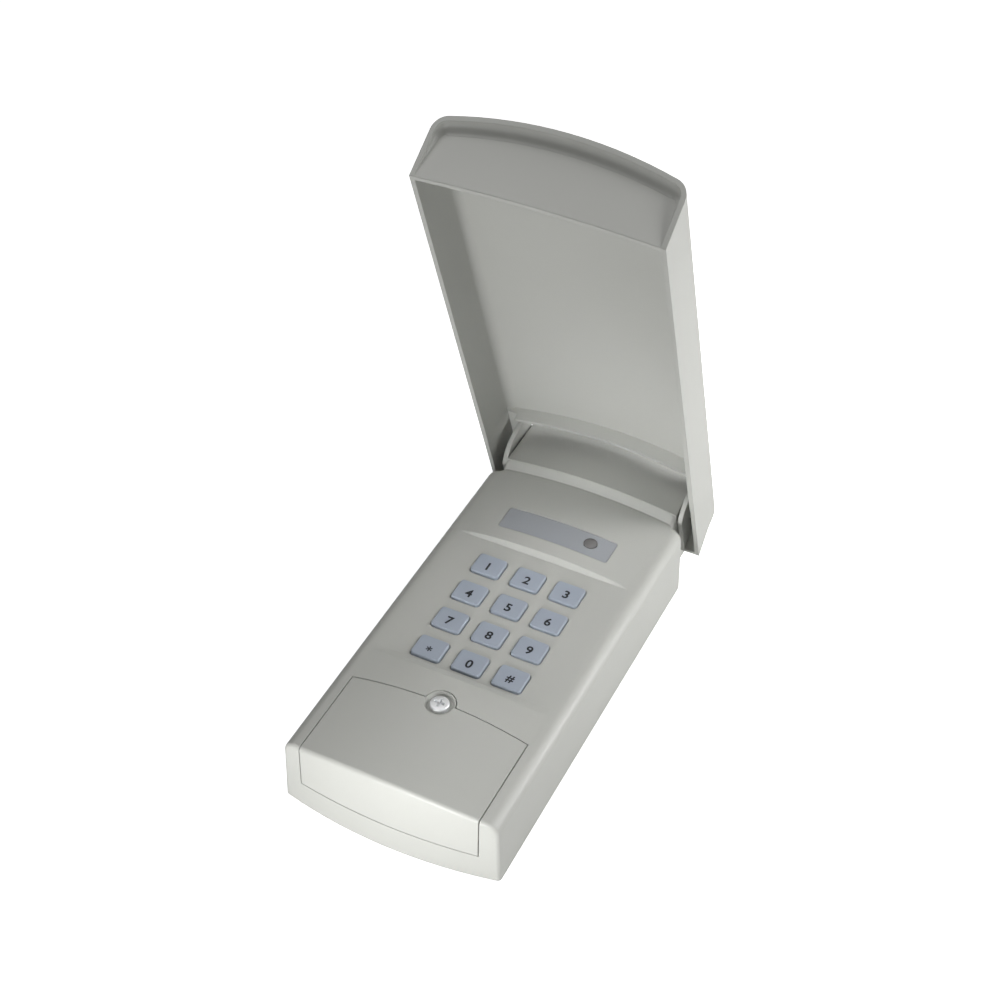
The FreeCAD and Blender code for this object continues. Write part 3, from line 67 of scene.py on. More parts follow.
def new_material(name, colour, roughness, metallic=0.0):
    """A material whose colour, gloss and metal are the same all over the piece."""
    material = bpy.data.materials.new(name)
    material.use_nodes = True
    shader(material).inputs["Base Color"].default_value = colour
    shader(material).inputs["Roughness"].default_value = roughness
    shader(material).inputs["Metallic"].default_value = metallic
    return material


def math_node(tree, operation, *terms):
    """Result of a Math node whose terms are sockets of the node tree or plain numbers."""
    node = tree.nodes.new("ShaderNodeMath")
    node.operation = operation
    for socket, term in zip(node.inputs, terms):
        if isinstance(term, bpy.types.NodeSocket):
            tree.links.new(term, socket)
        else:
            socket.default_value = term
    return node.outputs[0]


def moulded_surface():
    """Group for a moulded skin: fine grain as a height, cloudy unevenness in colour and gloss."""
    group = bpy.data.node_groups.new("moulded_surface", "ShaderNodeTree")
    for name, kind, way in (
        ("Colour", "NodeSocketColor", "INPUT"), ("Roughness", "NodeSocketFloat", "INPUT"),
        ("Grain per metre", "NodeSocketFloat", "INPUT"), ("Unevenness", "NodeSocketFloat", "INPUT"),
        ("Colour", "NodeSocketColor", "OUTPUT"), ("Roughness", "NodeSocketFloat", "OUTPUT"),
        ("Height", "NodeSocketFloat", "OUTPUT"),
    ):
        group.interface.new_socket(name=name, in_out=way, socket_type=kind)
    nodes, links = group.nodes, group.links
    given = nodes.new("NodeGroupInput")
    made = nodes.new("NodeGroupOutput")
    place = nodes.new("ShaderNodeTexCoord")
    grain = nodes.new("ShaderNodeTexNoise")
    grain.inputs["Detail"].default_value = 2
    links.new(place.outputs["Object"], grain.inputs["Vector"])
    links.new(given.outputs["Grain per metre"], grain.inputs["Scale"])
    cloud = nodes.new("ShaderNodeTexNoise")
    cloud.inputs["Scale"].default_value = CLOUDS_PER_METRE
    cloud.inputs["Detail"].default_value = 3
    links.new(place.outputs["Object"], cloud.inputs["Vector"])
    centred = math_node(group, "SUBTRACT", cloud.outputs["Fac"], 0.5)
    uneven = math_node(group, "MULTIPLY", centred, given.outputs["Unevenness"])
    tinted = nodes.new("ShaderNodeVectorMath")
    tinted.operation = "SCALE"
    links.new(given.outputs["Colour"], tinted.inputs[0])
    links.new(math_node(group, "ADD", uneven, 1), tinted.inputs["Scale"])
    gloss = math_node(group, "ADD", given.outputs["Roughness"], uneven)
    links.new(tinted.outputs[0], made.inputs["Colour"])
    links.new(gloss, made.inputs["Roughness"])
    links.new(grain.outputs["Fac"], made.inputs["Height"])
    return group


MOULDED = moulded_surface()


def moulded(name, colour, roughness, grain, depth, unevenness=0.05, soft_edge=0.0):
    """A moulded skin with its grain to the metre and the grain's depth. A soft_edge above zero is
    the radius that the light sees on sharp edges."""
    material = new_material(name, colour, roughness)
    nodes, links = material.node_tree.nodes, material.node_tree.links
    skin = nodes.new("ShaderNodeGroup")
    skin.node_tree = MOULDED
    skin.inputs["Colour"].default_value = colour
    skin.inputs["Roughness"].default_value = roughness
    skin.inputs["Grain per metre"].default_value = grain
    skin.inputs["Unevenness"].default_value = unevenness
    links.new(skin.outputs["Colour"], shader(material).inputs["Base Color"])
    links.new(skin.outputs["Roughness"], shader(material).inputs["Roughness"])
    bump = nodes.new("ShaderNodeBump")
    bump.inputs["Distance"].default_value = depth
    links.new(skin.outputs["Height"], bump.inputs["Height"])
    if soft_edge:
        rounded = nodes.new("ShaderNodeBevel")
        rounded.samples = 6
        rounded.inputs["Radius"].default_value = soft_edge
        links.new(rounded.outputs["Normal"], bump.inputs["Normal"])
    links.new(bump.outputs["Normal"], shader(material).inputs["Normal"])
    return material


def show(piece, body, material):
    """Put a finished piece in the scene on its body, with its material."""
    piece.data.materials.clear()
    piece.data.materials.append(material)
    if piece.name not in bpy.context.scene.collection.all_objects:
        bpy.context.scene.collection.objects.link(piece)
    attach(piece, body)


def mesh_points(mesh):
    """The points of a mesh as rows of x, y and z."""
    points = np.empty(3 * len(mesh.vertices))
    mesh.vertices.foreach_get("co", points)
    return points.reshape(-1, 3)


def moulding(name, node, body, material, crease=30):
    """A node's solid as one welded skin: corners that round to the same micrometre become one
    point, and faces that meet at less than the crease angle share a smooth normal, which the
    larger of them lead."""
    source = frame["nodes"][node].data
    points = mesh_points(source)
    corners = np.empty(3 * len(source.polygons), dtype=int)
    source.polygons.foreach_get("vertices", corners)
    rounded = np.round(points / MICROMETRE).astype(np.int64)
    _, first, same = np.unique(rounded, axis=0, return_index=True, return_inverse=True)
    faces = same.reshape(-1)[corners].reshape(-1, 3)
    one, two, three = faces.T
    kept = (one != two) & (two != three) & (three != one)
    mesh = bpy.data.meshes.new(name)
    mesh.from_pydata(points[first].tolist(), [], faces[kept].tolist())
    mesh.shade_smooth()
    mesh.set_sharp_from_angle(angle=math.radians(crease))
    piece = bpy.data.objects.new(name, mesh)
    lead = piece.modifiers.new("face_lead", "WEIGHTED_NORMAL")
    lead.keep_sharp = True
    lead.weight = 100
    show(piece, body, material)
    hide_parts(node)


def satin_skin(name):
    """The case's satin plastic, which the lid shares."""
    return moulded(
        name, SATIN_GREY, roughness=0.42, grain=9000, depth=0.004 * MM, unevenness=0.03,
        soft_edge=0.35 * MM)


case_skin = satin_skin("satin_grey_abs")
moulding("case_moulding", "front_case", "case", case_skin)

# ---------------------------------------------------------------- roof of the hinge block
# The block between the lid's cheeks has a nearly level crowned roof with rounded edges. It is part
# of the front case's moulding, and a notch in the lid leaves it in view when the lid is shut.

BLOCK_HALF = 28.59 * MM
BLOCK_CORNER = 1.6 * MM
RIDGE_Y = 50.0 * MM
CROWN_RADIUS = 164.0 * MM
ROOF_RISE = 0.6 * MM
ROOF_BACK_RADIUS = 1.2 * MM
ROOF_SIDE_RADIUS = 0.5 * MM
ROOF_FOOT_FRONT = 25.2 * MM
ROOF_FOOT_BACK = 20.0 * MM

# the roof starts just under the case's ridge and keeps just inside its back wall
RIDGE_SINK = 0.04 * MM
ROOF_INSET = 0.01 * MM


def grid_faces(rows, sides):
    """Quads between the rows of a grid that is closed round its sides."""
    row, side = np.meshgrid(np.arange(rows - 1), np.arange(sides), indexing="ij")
    here = row * sides + side
    beside = row * sides + (side + 1) % sides
    return np.stack([here, beside, beside + sides, here + sides], axis=-1).reshape(-1, 4).tolist()


def closed_grid(points):
    """Points and faces of a grid of closed rings, with flat caps on the first and last ring."""
    rows, sides = points.shape[:2]
    faces = grid_faces(rows, sides)
    faces.append(list(range(sides))[::-1])
    faces.append([(rows - 1) * sides + side for side in range(sides)])
    return points.reshape(-1, 3), faces


def joined(name, shells, crease=35):
    """One mesh object from closed shells, smooth but for creases sharper than the angle."""
    points, faces, start = [], [], 0
    for shell_points, shell_faces in shells:
        points.append(shell_points)
        faces += [[start + corner for corner in face] for face in shell_faces]
        start += len(shell_points)
    mesh = bpy.data.meshes.new(name)
    mesh.from_pydata(np.concatenate(points).tolist(), [], faces)
    mesh.shade_smooth()
    mesh.set_sharp_from_angle(angle=math.radians(crease))
    return bpy.data.objects.new(name, mesh)


def block_roof():
    """Sections side by side across X. Each runs back from the ridge and climbs a little, turns
    down by a quarter circle and closes on a sloped foot inside the wall. The crown lowers it by
    the sagitta of its circle. Near the sides a quarter circle lowers it further, and another draws
    its back in."""
    _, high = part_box("front_case")
    quarter = np.linspace(0, np.pi / 2, 10)
    near_side = [radius * (1 - np.cos(quarter)) for radius in (ROOF_SIDE_RADIUS, BLOCK_CORNER)]
    left = np.unique(np.concatenate(near_side)) - BLOCK_HALF
    middle = np.linspace(left[-1], -left[-1], 41)[1:-1]
    x = np.concatenate([left, middle, -left[::-1]])[:, None]

    def rounding(radius):
        past = np.clip(np.abs(x) - BLOCK_HALF + radius, 0, radius)
        return radius - np.sqrt(radius ** 2 - past ** 2)

    drop = CROWN_RADIUS - np.sqrt(CROWN_RADIUS ** 2 - x ** 2) + rounding(ROOF_SIDE_RADIUS)
    back = high.y - ROOF_INSET - rounding(BLOCK_CORNER)
    share, bend = np.linspace(0, 1, 12), quarter[1:]
    run = RIDGE_Y + (back - ROOF_BACK_RADIUS - RIDGE_Y) * share
    over = back - ROOF_BACK_RADIUS * (1 - np.sin(bend))
    y = np.concatenate([run, over, back, RIDGE_Y + 0 * x], axis=1)
    top = np.concatenate([ROOF_RISE * share, ROOF_RISE - ROOF_BACK_RADIUS * (1 - np.cos(bend))])
    top = np.concatenate([high.z - RIDGE_SINK + top, [ROOF_FOOT_BACK, ROOF_FOOT_FRONT]])
    return closed_grid(np.stack([x + 0 * y, y, top - drop], axis=-1)[:, ::-1])


show(joined("hinge_block_roof", [block_roof()], crease=40), "case", case_skin)

# ---------------------------------------------------------------- rear cover and its screws
# The rear cover is a flat plate in the same plastic, let into the back of the case.
# Six zinc-plated pan-head screws with a cross recess go up through it into bosses of the case.

moulding("rear_moulding", "rear_cover", "case", case_skin)

ZINC = (0.86, 0.87, 0.88, 1)
MARKS_PER_METRE = 3500
MARK_SHINE = 0.08
MARK_DULLNESS = 0.1
SCREW_SIDES = 96
RINGS_PER_PITCH = 8
SCREW_REACH = 6 * MM

# a screw's tip in pitches; its width and the thread's depth as shares of the shank's radius
TIP_LENGTH = 1.2
TIP_WIDTH, THREAD_DEPTH = 0.25, 0.22

# a screw's head: shares of its height, then of its radius
HEAD_RIM, CROSS_DEPTH = 0.4, 0.75
DOME, CROSS_ARM, CROSS_WIDTH, CROSS_FLARE = 0.05, 0.52, 0.2, 0.07

# the flat cap in a head's middle, as a share of the top inside the rim
HEAD_CAP = 0.02


def brushed_metal(name, colour, roughness, metallic=1.0):
    """Plated metal whose gloss is a little uneven along fine turning marks."""
    material = new_material(name, colour, roughness, metallic)
    nodes, links = material.node_tree.nodes, material.node_tree.links
    place = nodes.new("ShaderNodeTexCoord")
    marks = nodes.new("ShaderNodeTexNoise")
    marks.inputs["Scale"].default_value = MARKS_PER_METRE
    links.new(place.outputs["Object"], marks.inputs["Vector"])
    spread = nodes.new("ShaderNodeMapRange")
    spread.inputs["To Min"].default_value = roughness - MARK_SHINE
    spread.inputs["To Max"].default_value = roughness + MARK_DULLNESS
    links.new(marks.outputs["Fac"], spread.inputs["Value"])
    links.new(spread.outputs["Result"], shader(material).inputs["Roughness"])
    return material


zinc_plate = brushed_metal("zinc_plate", ZINC, roughness=0.42, metallic=0.6)


def cross_screw(x, y, seat, way, head, head_height, shank, length, pitch=1.1 * MM):
    """A pan-head screw about a line along Z: the radius follows the profile of shank and head, the
    shank swells with a ridge that climbs one pitch a turn, and the head sinks in a cross near its
    middle. seat is the height of the head's underside; way is +1 for a head on top, -1 below."""
    turn = np.linspace(0, 2 * np.pi, SCREW_SIDES, endpoint=False)
    down = np.linspace(length, 0, int(length / pitch) * RINGS_PER_PITCH)
    ridge = np.abs(2 * np.mod(down[:, None] / pitch + way * turn / (2 * np.pi), 1) - 1)
    taper = np.clip((length - down) / (TIP_LENGTH * pitch), TIP_WIDTH, 1)[:, None]
    radius = shank * taper * (1 - THREAD_DEPTH * (1 - ridge))
    height = np.repeat(-down[:, None], SCREW_SIDES, axis=1)
    step = np.linspace(0, 1, 8)[1:, None]
    under_radius = shank + (head - shank) * step + 0 * turn
    under_height = 0 * under_radius
    bend = np.linspace(0, np.pi / 2, 9)[1:, None]
    rim = HEAD_RIM * head_height
    side_radius = head - rim * (1 - np.cos(bend)) + 0 * turn
    side_height = head_height - rim - DOME * head + rim * np.sin(bend) + 0 * turn
    inward = np.linspace(1, HEAD_CAP, 34)[1:, None]
    top_radius = (head - rim) * inward + 0 * turn
    across, up = top_radius * np.cos(turn), top_radius * np.sin(turn)
    arm, width = CROSS_ARM * head, CROSS_WIDTH * head
    outside = np.maximum(np.minimum(abs(across), abs(up)) - width / 2, top_radius - arm)
    sunk = np.clip(0.5 - outside / (CROSS_FLARE * head), 0, 1)
    crown = DOME * head * (1 - inward ** 2)
    top_height = head_height - DOME * head + crown - CROSS_DEPTH * head_height * sunk
    radius = np.concatenate([radius, under_radius, side_radius, top_radius])
    height = np.concatenate([height, under_height, side_height, top_height])
    points = np.stack([
        x + radius * np.cos(turn), y + way * radius * np.sin(turn), seat + way * height,
    ], axis=-1)
    return closed_grid(points)


def solid_spots(node, count):
    """Where a node's count upright solids stand: the middle of the points near one of each."""
    points = mesh_points(frame["nodes"][node].data)[:, :2]
    spots = []
    for _ in range(count):
        near = np.linalg.norm(points - points[0], axis=1) < SCREW_REACH
        spots.append((points[near].min(axis=0) + points[near].max(axis=0)) / 2)
        points = points[~near]
    return spots


def turned_screws(name, node, spots, **sizes):
    """Screws of one size at the spots, as one piece that stands for the plain ones of the node."""
    screws = joined(name, [cross_screw(x, y, **sizes) for x, y in spots])
    show(screws, "case", zinc_plate)
    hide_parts(node)


turned_screws(
    "case_screw_set", "case_screws", solid_spots("case_screws", 6), seat=1.4 * MM, way=-1,
    head=2.68 * MM, head_height=1.28 * MM, shank=1.44 * MM, length=8.9 * MM)

# ---------------------------------------------------------------- battery door and its screw
# The L-shaped door closes the battery space. A tongue hooks under the near wall's rim, and one
# screw through a round tab holds it. It is moulded in the same plastic as the case.

DOOR_SCREW_HEAD = 1.5 * MM

moulding("door_moulding", "battery_door", "case", case_skin)

low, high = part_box("door_screw")
head_seat = high.z - DOOR_SCREW_HEAD
turned_screws(
    "door_screw_turned", "door_screw", [((low.x + high.x) / 2, (low.y + high.y) / 2)],
    seat=head_seat, way=1, head=(high.x - low.x) / 2, head_height=high.z - head_seat,
    shank=1.39 * MM, length=head_seat - low.z)

# ---------------------------------------------------------------- label plate and status light
# The label is a thin grey plastic plate glued into a shallow bed. A smoked lens comes up through
# it, over a red light-emitting diode that stands on the circuit board.

LABEL_GREY = (0.33, 0.345, 0.37, 1)

label_skin = moulded(
    "grey_label", LABEL_GREY, roughness=0.38, grain=6000, depth=0.002 * MM, unevenness=0.03)
moulding("label_film_plate", "label_plate", "case", label_skin)

lens_skin = new_material("smoked_polycarbonate", (0.16, 0.155, 0.155, 1), roughness=0.16)
shader(lens_skin).inputs["Coat Weight"].default_value = 0.4
moulding("lens_moulding", "indicator_lens", "case", lens_skin, crease=40)

led_skin = new_material("red_epoxy", (0.45, 0.02, 0.015, 1), roughness=0.15)
shader(led_skin).inputs["Transmission Weight"].default_value = 0.5
moulding("led_moulding", "indicator_led", "case", led_skin, crease=40)

# ---------------------------------------------------------------- keys
# Each key is a block of blue-grey silicone rubber with softly rounded edges, moulded with a foot
# that carries a carbon face. It slides in an opening of the case, and its digit or sign is printed
# in black on top.

KEY_BLUE = (0.335, 0.375, 0.44, 1)
CORNER_STEPS = 9
KEY_CORNER = 1.1 * MM
KEY_SOFTNESS = 0.42 * MM
KEY_BODY_BOTTOM = 18.2 * MM
KEY_FOOT_RADIUS = 2.2 * MM
KEY_FOOT_OVERLAP = 0.1 * MM
DIGIT_HEIGHT = 3.1 * MM
LEGEND_DROP = 0.6 * MM
INK_RISE = 0.03 * MM
INK_THICKNESS = 2 * INK_RISE

# in the letters' own units: how far strokes are thickened, half their depth, and the weld
DIGIT_WEIGHT = 0.025
HALF_DEPTH = 0.5
LETTER_WELD = 0.0001

# the two keys without a digit: the sign, its height and how far its strokes are thickened
SIGNS = {"star": ("*", 2.0 * MM, 0.014), "hash": ("#", 2.8 * MM, DIGIT_WEIGHT)}


def soft_block(low, high, corner, softness):
    """A block whose plan is a rounded rectangle. The outline is drawn in by an inset that is zero
    up the side and follows a quarter circle of the softness over the top edge."""
    turn = np.concatenate([
        np.linspace(quarter * np.pi / 2, (quarter + 1) * np.pi / 2, CORNER_STEPS)
        for quarter in range(4)])
    reach_x = (high.x - low.x) / 2 - corner
    reach_y = (high.y - low.y) / 2 - corner
    middle_x = (low.x + high.x) / 2 + reach_x * np.repeat([1, -1, -1, 1], CORNER_STEPS)
    middle_y = (low.y + high.y) / 2 + reach_y * np.repeat([1, 1, -1, -1], CORNER_STEPS)
    bend = np.linspace(0, np.pi / 2, CORNER_STEPS)
    inset = np.concatenate([[0.0], softness * (1 - np.cos(bend))])[:, None]
    rise = np.concatenate([[low.z], high.z - softness * (1 - np.sin(bend))])[:, None]
    points = np.stack([
        middle_x + (corner - inset) * np.cos(turn),
        middle_y + (corner - inset) * np.sin(turn),
        rise + 0 * turn,
    ], axis=-1)
    return closed_grid(points)


def round_post(x, y, radius, bottom, top, sides=48):
    """A plain round post: two rings of the radius, closed at both ends."""
    turn = np.linspace(0, 2 * np.pi, sides, endpoint=False)
    rise = np.array([bottom, top])[:, None]
    points = np.stack([
        x + radius * np.cos(turn) + 0 * rise,
        y + radius * np.sin(turn) + 0 * rise,
        rise + 0 * turn,
    ], axis=-1)
    return closed_grid(points)


def printed(name, sign, height, weight, x, y, z, thickness):
    """Raised print: a sign's outline made a closed mesh, scaled to height and laid flat at z."""
    words = bpy.data.curves.new(name, "FONT")
    words.body = sign
    words.align_x = "CENTER"
    words.extrude = HALF_DEPTH
    words.offset = weight
    holder = bpy.data.objects.new(name, words)
    mesh = bpy.data.meshes.new_from_object(holder)
    bpy.data.objects.remove(holder)
    shell = bmesh.new()
    shell.from_mesh(mesh)
    bmesh.ops.remove_doubles(shell, verts=shell.verts, dist=LETTER_WELD)
    shell.to_mesh(mesh)
    shell.free()
    points = mesh_points(mesh)
    lowest, highest = points.min(axis=0), points.max(axis=0)
    scale = height / (highest[1] - lowest[1])
    points[:, :2] = (points[:, :2] - (lowest[:2] + highest[:2]) / 2) * scale + (x, y)
    points[:, 2] = z + (points[:, 2] + HALF_DEPTH) * thickness
    mesh.vertices.foreach_set("co", points.reshape(-1))
    mesh.update()
    return bpy.data.objects.new(name, mesh)


key_skin = moulded("key_silicone", KEY_BLUE, roughness=0.5, grain=7000, depth=0.003 * MM)
ink = new_material("black_ink", (0.008, 0.008, 0.01, 1), roughness=0.6)
key_nodes = [name for name in frame["nodes"] if name.startswith("key_") and name != "key_contacts"]
for node in key_nodes:
    label = node.split("_")[1]
    low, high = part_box(node)
    block_low = Vector((low.x, low.y, KEY_BODY_BOTTOM))
    block_high = Vector((high.x, high.y, high.z - INK_RISE))
    x, y = (low.x + high.x) / 2, (low.y + high.y) / 2
    block = soft_block(block_low, block_high, KEY_CORNER, KEY_SOFTNESS)
    foot = round_post(x, y, KEY_FOOT_RADIUS, low.z, block_low.z + KEY_FOOT_OVERLAP)
    key = joined(f"rubber_key_{label}", [block, foot])
    show(key, f"button_{label}", key_skin)
    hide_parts(node)
    sign, height, weight = SIGNS.get(label, (label, DIGIT_HEIGHT, DIGIT_WEIGHT))
    legend = printed(
        f"legend_{label}", sign, height, weight, x, y - LEGEND_DROP, high.z - INK_THICKNESS,
        INK_THICKNESS)
    show(legend, f"button_{label}", ink)

# ---------------------------------------------------------------- mat, contacts and circuit board
# Under the keys lies a rubber mat on a green glass-epoxy board with carbon pads. The board carries
# two chips, two resonators, a capacitor and resistors, and four screws hang it from the case.


def dress(node, material):
    """Give a node of the frame its material and leave its mesh and its slot alone."""
    piece = frame["nodes"][node]
    piece.data.materials.clear()
    piece.data.materials.append(material)


dress("keypad_mat", key_skin)
dress("key_contacts", new_material("carbon_ink", (0.02, 0.02, 0.02, 1), roughness=0.7))
dress("circuit_board", moulded(
    "green_solder_mask", (0.012, 0.09, 0.035, 1), roughness=0.35, grain=2500, depth=0.01 * MM,
    unevenness=0.3))
epoxy = moulded(
    "black_epoxy", (0.016, 0.016, 0.017, 1), roughness=0.55, grain=5000, depth=0.004 * MM)
dress("controller_chip", epoxy)
dress("memory_chip", epoxy)
dress("chip_resistors", epoxy)
dress("clock_resonator", new_material("orange_ceramic", (0.55, 0.2, 0.03, 1), roughness=0.3))
dress("saw_resonator", brushed_metal("nickel_can", (0.6, 0.58, 0.54, 1), roughness=0.25))
dress("smoothing_capacitor", new_material("blue_sleeve", (0.01, 0.02, 0.08, 1), roughness=0.3))

turned_screws(
    "board_screw_set", "board_screws", solid_spots("board_screws", 4), seat=14.6 * MM, way=-1,
    head=2.08 * MM, head_height=1.48 * MM, shank=1.09 * MM, length=5.9 * MM, pitch=0.8 * MM)

# ---------------------------------------------------------------- leads and aerial
# Two stranded leads with PVC insulation run from the snap connector to the board, and a loop of
# tinned wire stands on the board as the aerial.

dress("red_lead", new_material("red_pvc", (0.45, 0.012, 0.01, 1), roughness=0.35))
dress("black_lead", new_material("black_pvc", (0.015, 0.015, 0.015, 1), roughness=0.35))
dress("antenna_loop", brushed_metal("tinned_wire", (0.62, 0.6, 0.56, 1), roughness=0.28))

# ---------------------------------------------------------------- battery
# A nine-volt battery in a plain dark jacket lies on a foam pad in its cradle. Its two plated studs
# press into a snap connector of soft black plastic.

dress("battery", moulded(
    "printed_jacket", (0.03, 0.03, 0.034, 1), roughness=0.3, grain=1500, depth=0.004 * MM))
dress("battery_terminals", zinc_plate)
dress("battery_snap", moulded(
    "snap_vinyl", (0.02, 0.02, 0.02, 1), roughness=0.5, grain=4000, depth=0.01 * MM))
dress("battery_pad", moulded(
    "foam_cells", (0.04, 0.04, 0.042, 1), roughness=0.9, grain=1800, depth=0.2 * MM,
    unevenness=0.3))

# ---------------------------------------------------------------- weather lid
# The lid is one thin-walled moulding in the same grey plastic, with a finger recess outside its
# end web. Its two cheeks snap over the stub axles of the case, so that it tips up and back.

lid_skin = satin_skin("satin_grey_lid")
moulding("lid_moulding", "weather_lid", "lid", lid_skin)

LID_TOP = 31.6 * MM
LID_WALL = 1.4 * MM
LID_RIM = 11.2 * MM
FREE_END = -85.2 * MM
WEB_SLOPE = 0.075
WEB_ARCH_RADIUS = 362.9 * MM
WEB_BOW = 1.8 * MM
RECESS_CORNER = 3.1 * MM
RECESS_HALF = 33.5 * MM
RECESS_SIDE = 7 * MM
LIP_FILLET = 2.3 * MM
FIRST_LEG = 0.05
EMBED = 0.2 * MM

joints = frame["record"]["behaviour"]["joints"]
lid_joint = next(joint for joint in joints if joint["child"] == "lid")


def opened(points):
    """Points of the closed lid in its open place: a turn about the hinge line, which lies along X,
    by the angle from the closed limit to rest."""
    angle = math.radians(-lid_joint["range_deg"][0])
    _, hinge_y, hinge_z = lid_joint["pos_m"]
    y, z = points[:, 1] - hinge_y, points[:, 2] - hinge_z
    return np.stack([
        points[:, 0],
        hinge_y + y * math.cos(angle) + z * math.sin(angle),
        hinge_z - y * math.sin(angle) + z * math.cos(angle),
    ], axis=-1)


def lip_fillet():
    """Concave fillet in the corner of web and lip. Its path is the outline of the finger recess:
    up one side, round a corner, along the crown and down again. Across it the corner is filled by
    an arc that leaves the web after one leg and reaches the lip after the other, and both legs
    grow from a small share at the path's ends."""
    crown = CROWN_RADIUS - LID_WALL
    crown_middle = LID_TOP - LID_WALL - crown
    corner_x = RECESS_HALF - RECESS_CORNER
    corner_z = crown_middle + math.sqrt((crown - RECESS_CORNER) ** 2 - corner_x ** 2)
    turn = math.atan2(corner_z - crown_middle, corner_x)
    side, bend, arch = np.zeros(8), np.linspace(0, turn, 10), np.linspace(turn, np.pi - turn, 49)
    angle = np.concatenate([side, bend, arch, np.pi - bend[::-1], np.pi - side])
    end = len(side) + len(bend)
    steps = [end, len(arch), end]
    radius = np.repeat([RECESS_CORNER, crown, RECESS_CORNER], steps)
    middle_x = np.repeat([corner_x, 0, -corner_x], steps)
    middle_z = np.repeat([corner_z, crown_middle, corner_z], steps)
    drop = np.linspace(RECESS_SIDE, 0, len(side))
    level = np.zeros(len(angle) - 2 * len(drop))
    middle_z = middle_z - np.concatenate([drop, level, drop[::-1]])
    share = [np.linspace(FIRST_LEG, 1, end), np.ones(len(arch)), np.linspace(1, FIRST_LEG, end)]
    leg = LIP_FILLET * np.concatenate(share)[:, None]
    sweep = np.linspace(0, np.pi / 2, 10)
    buried = -EMBED + 0 * leg
    inward = np.concatenate([leg * (1 - np.sin(sweep)), buried, buried, leg], axis=1)
    outward = np.concatenate([leg * (1 - np.cos(sweep)), leg, buried, buried], axis=1)
    x = middle_x[:, None] + (radius[:, None] - inward) * np.cos(angle)[:, None]
    z = middle_z[:, None] + (radius[:, None] - inward) * np.sin(angle)[:, None]
    arch_rise = np.sqrt(WEB_ARCH_RADIUS ** 2 - x ** 2) - WEB_ARCH_RADIUS + WEB_BOW
    web = FREE_END - (z - LID_RIM) * WEB_SLOPE - arch_rise
    points, faces = closed_grid(np.stack([x, web - outward, z], axis=-1))
    return opened(points), faces


show(joined("lip_fillet", [lip_fillet()]), "lid", lid_skin)

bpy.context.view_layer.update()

# ---------------------------------------------------------------- floor, light and camera
# The keypad lies on a white studio table. Soft lights stand low beyond its near end and on its
# right, larger ones hang at its right, its left and overhead, and narrow beams reach the ridge.

TABLE_REACH = 3.0
TABLE_TOP = -0.2 * MM
TABLE_GLOW = 0.8
ROOM_GLOW = 0.02
BACKDROP_GLOW = 0.9
CAMERA_SPOT = Vector((166.73, -353.72, 423.07)) * MM
CAMERA_LENS = 69.16
SENSOR_WIDTH = 36
NEAREST_VIEW = 0.01

floor_mesh = bpy.data.meshes.new("studio_floor")
signs = ((-1, -1), (1, -1), (1, 1), (-1, 1))
corners = [(x * TABLE_REACH, y * TABLE_REACH, TABLE_TOP) for x, y in signs]
floor_mesh.from_pydata(corners, [], [(0, 1, 2, 3)])
floor = bpy.data.objects.new("studio_floor", floor_mesh)
table = new_material("pale_table", (0.8, 0.8, 0.8, 1), roughness=0.8)
seen = table.node_tree.nodes.new("ShaderNodeLightPath")
glow = math_node(table.node_tree, "MULTIPLY", seen.outputs["Is Camera Ray"], TABLE_GLOW)
table.node_tree.links.new(glow, shader(table).inputs["Emission Strength"])
shader(table).inputs["Emission Color"].default_value = (1, 1, 1, 1)
floor_mesh.materials.append(table)
bpy.context.scene.collection.objects.link(floor)


def soft_light(name, spot, aim, size, power, spread=180):
    """A square area light at spot that faces aim, its beam no wider than spread in degrees."""
    lamp = bpy.data.lights.new(name, "AREA")
    lamp.size = size
    lamp.energy = power
    lamp.spread = math.radians(spread)
    holder = bpy.data.objects.new(name, lamp)
    holder.location = spot
    holder.rotation_euler = (Vector(aim) - Vector(spot)).to_track_quat("-Z", "Y").to_euler()
    bpy.context.scene.collection.objects.link(holder)


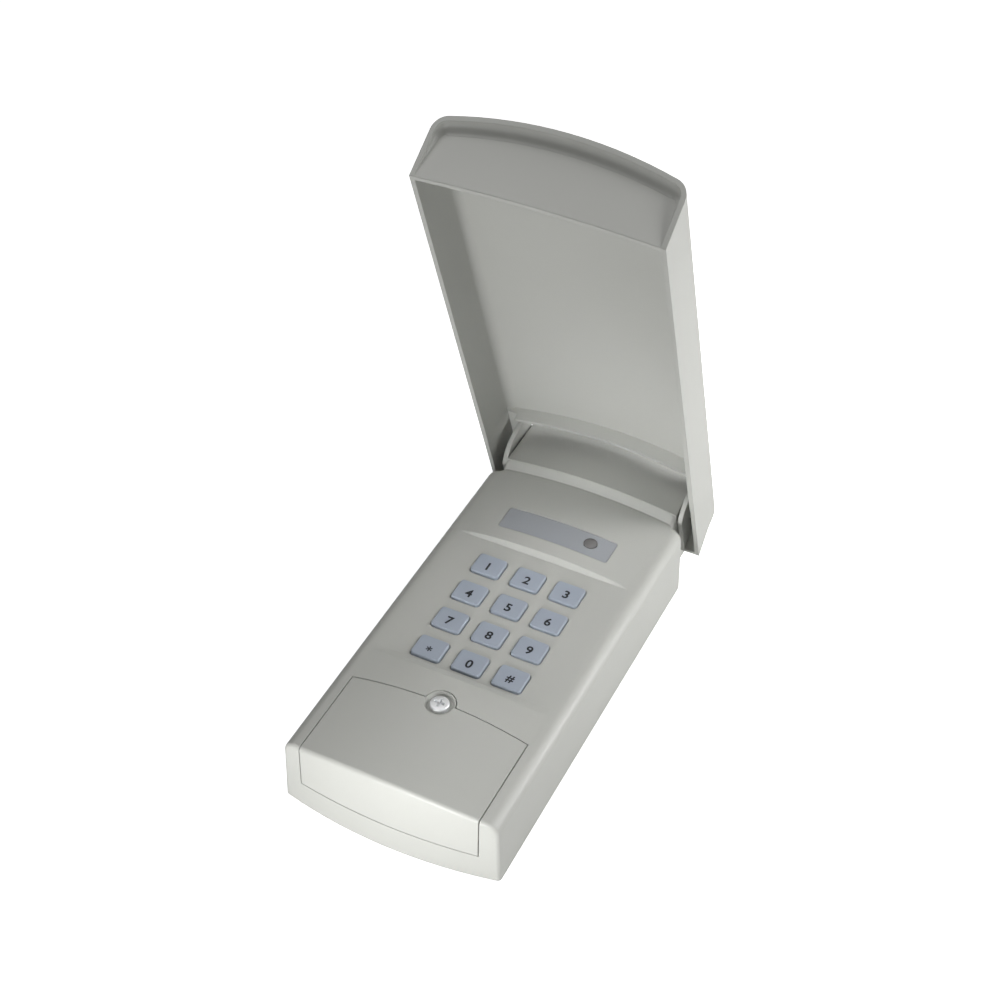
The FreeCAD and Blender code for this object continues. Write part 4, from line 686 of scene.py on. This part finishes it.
door_middle, keypad_middle = (0, -0.05, 0.03), (0, 0, 0.05)
lid_middle, ridge_middle = (0.03, 0.04, 0.1), (0.01, 0.055, 0.03)
soft_light("near_low_light", (0, -0.25, 0.03), door_middle, size=0.08, power=0.4)
soft_light("near_high_light", (0.02, -0.2, 0.1), door_middle, size=0.06, power=0.05)
soft_light("right_low_light", (0.25, 0.12, 0.05), keypad_middle, size=0.08, power=0.29)
soft_light("right_window", (0.4, 0.15, 0.35), lid_middle, size=0.25, power=1.5)
soft_light("left_window", (-0.35, 0, 0.6), keypad_middle, size=0.3, power=0.85)
soft_light("top_light", (0, 0.1, 0.6), keypad_middle, size=0.3, power=0.55)
soft_light("ridge_low_light", (0.02, -0.25, 0.12), ridge_middle, size=0.05, power=0.008, spread=24)
soft_light(
    "ridge_high_light", (-0.05, -0.15, 0.25), ridge_middle, size=0.05, power=0.0055, spread=30)

world = bpy.data.worlds.new("studio")
world.use_nodes = True
nodes, links = world.node_tree.nodes, world.node_tree.links
seen = nodes.new("ShaderNodeLightPath")
wall = nodes.new("ShaderNodeMapRange")
wall.inputs["To Min"].default_value = ROOM_GLOW
wall.inputs["To Max"].default_value = BACKDROP_GLOW
links.new(seen.outputs["Is Camera Ray"], wall.inputs["Value"])
links.new(wall.outputs["Result"], nodes["Background"].inputs["Strength"])
nodes["Background"].inputs["Color"].default_value = (1, 1, 1, 1)
bpy.context.scene.world = world

camera = bpy.data.objects.new("camera", bpy.data.cameras.new("camera"))
azimuth, elevation, roll = math.radians(26.08), math.radians(42.86), math.radians(0.68)
back = Vector((
    math.sin(azimuth) * math.cos(elevation),
    -math.cos(azimuth) * math.cos(elevation),
    math.sin(elevation),
))
turned = Matrix.Rotation(roll, 3, back) @ (-back).to_track_quat("-Z", "Y").to_matrix()
camera.matrix_world = Matrix.LocRotScale(CAMERA_SPOT, turned.to_quaternion(), None)
camera.data.lens = CAMERA_LENS
camera.data.sensor_width = SENSOR_WIDTH
camera.data.clip_start = NEAREST_VIEW
bpy.context.scene.collection.objects.link(camera)
bpy.context.scene.camera = camera
bpy.context.scene.view_settings.view_transform = "Standard"
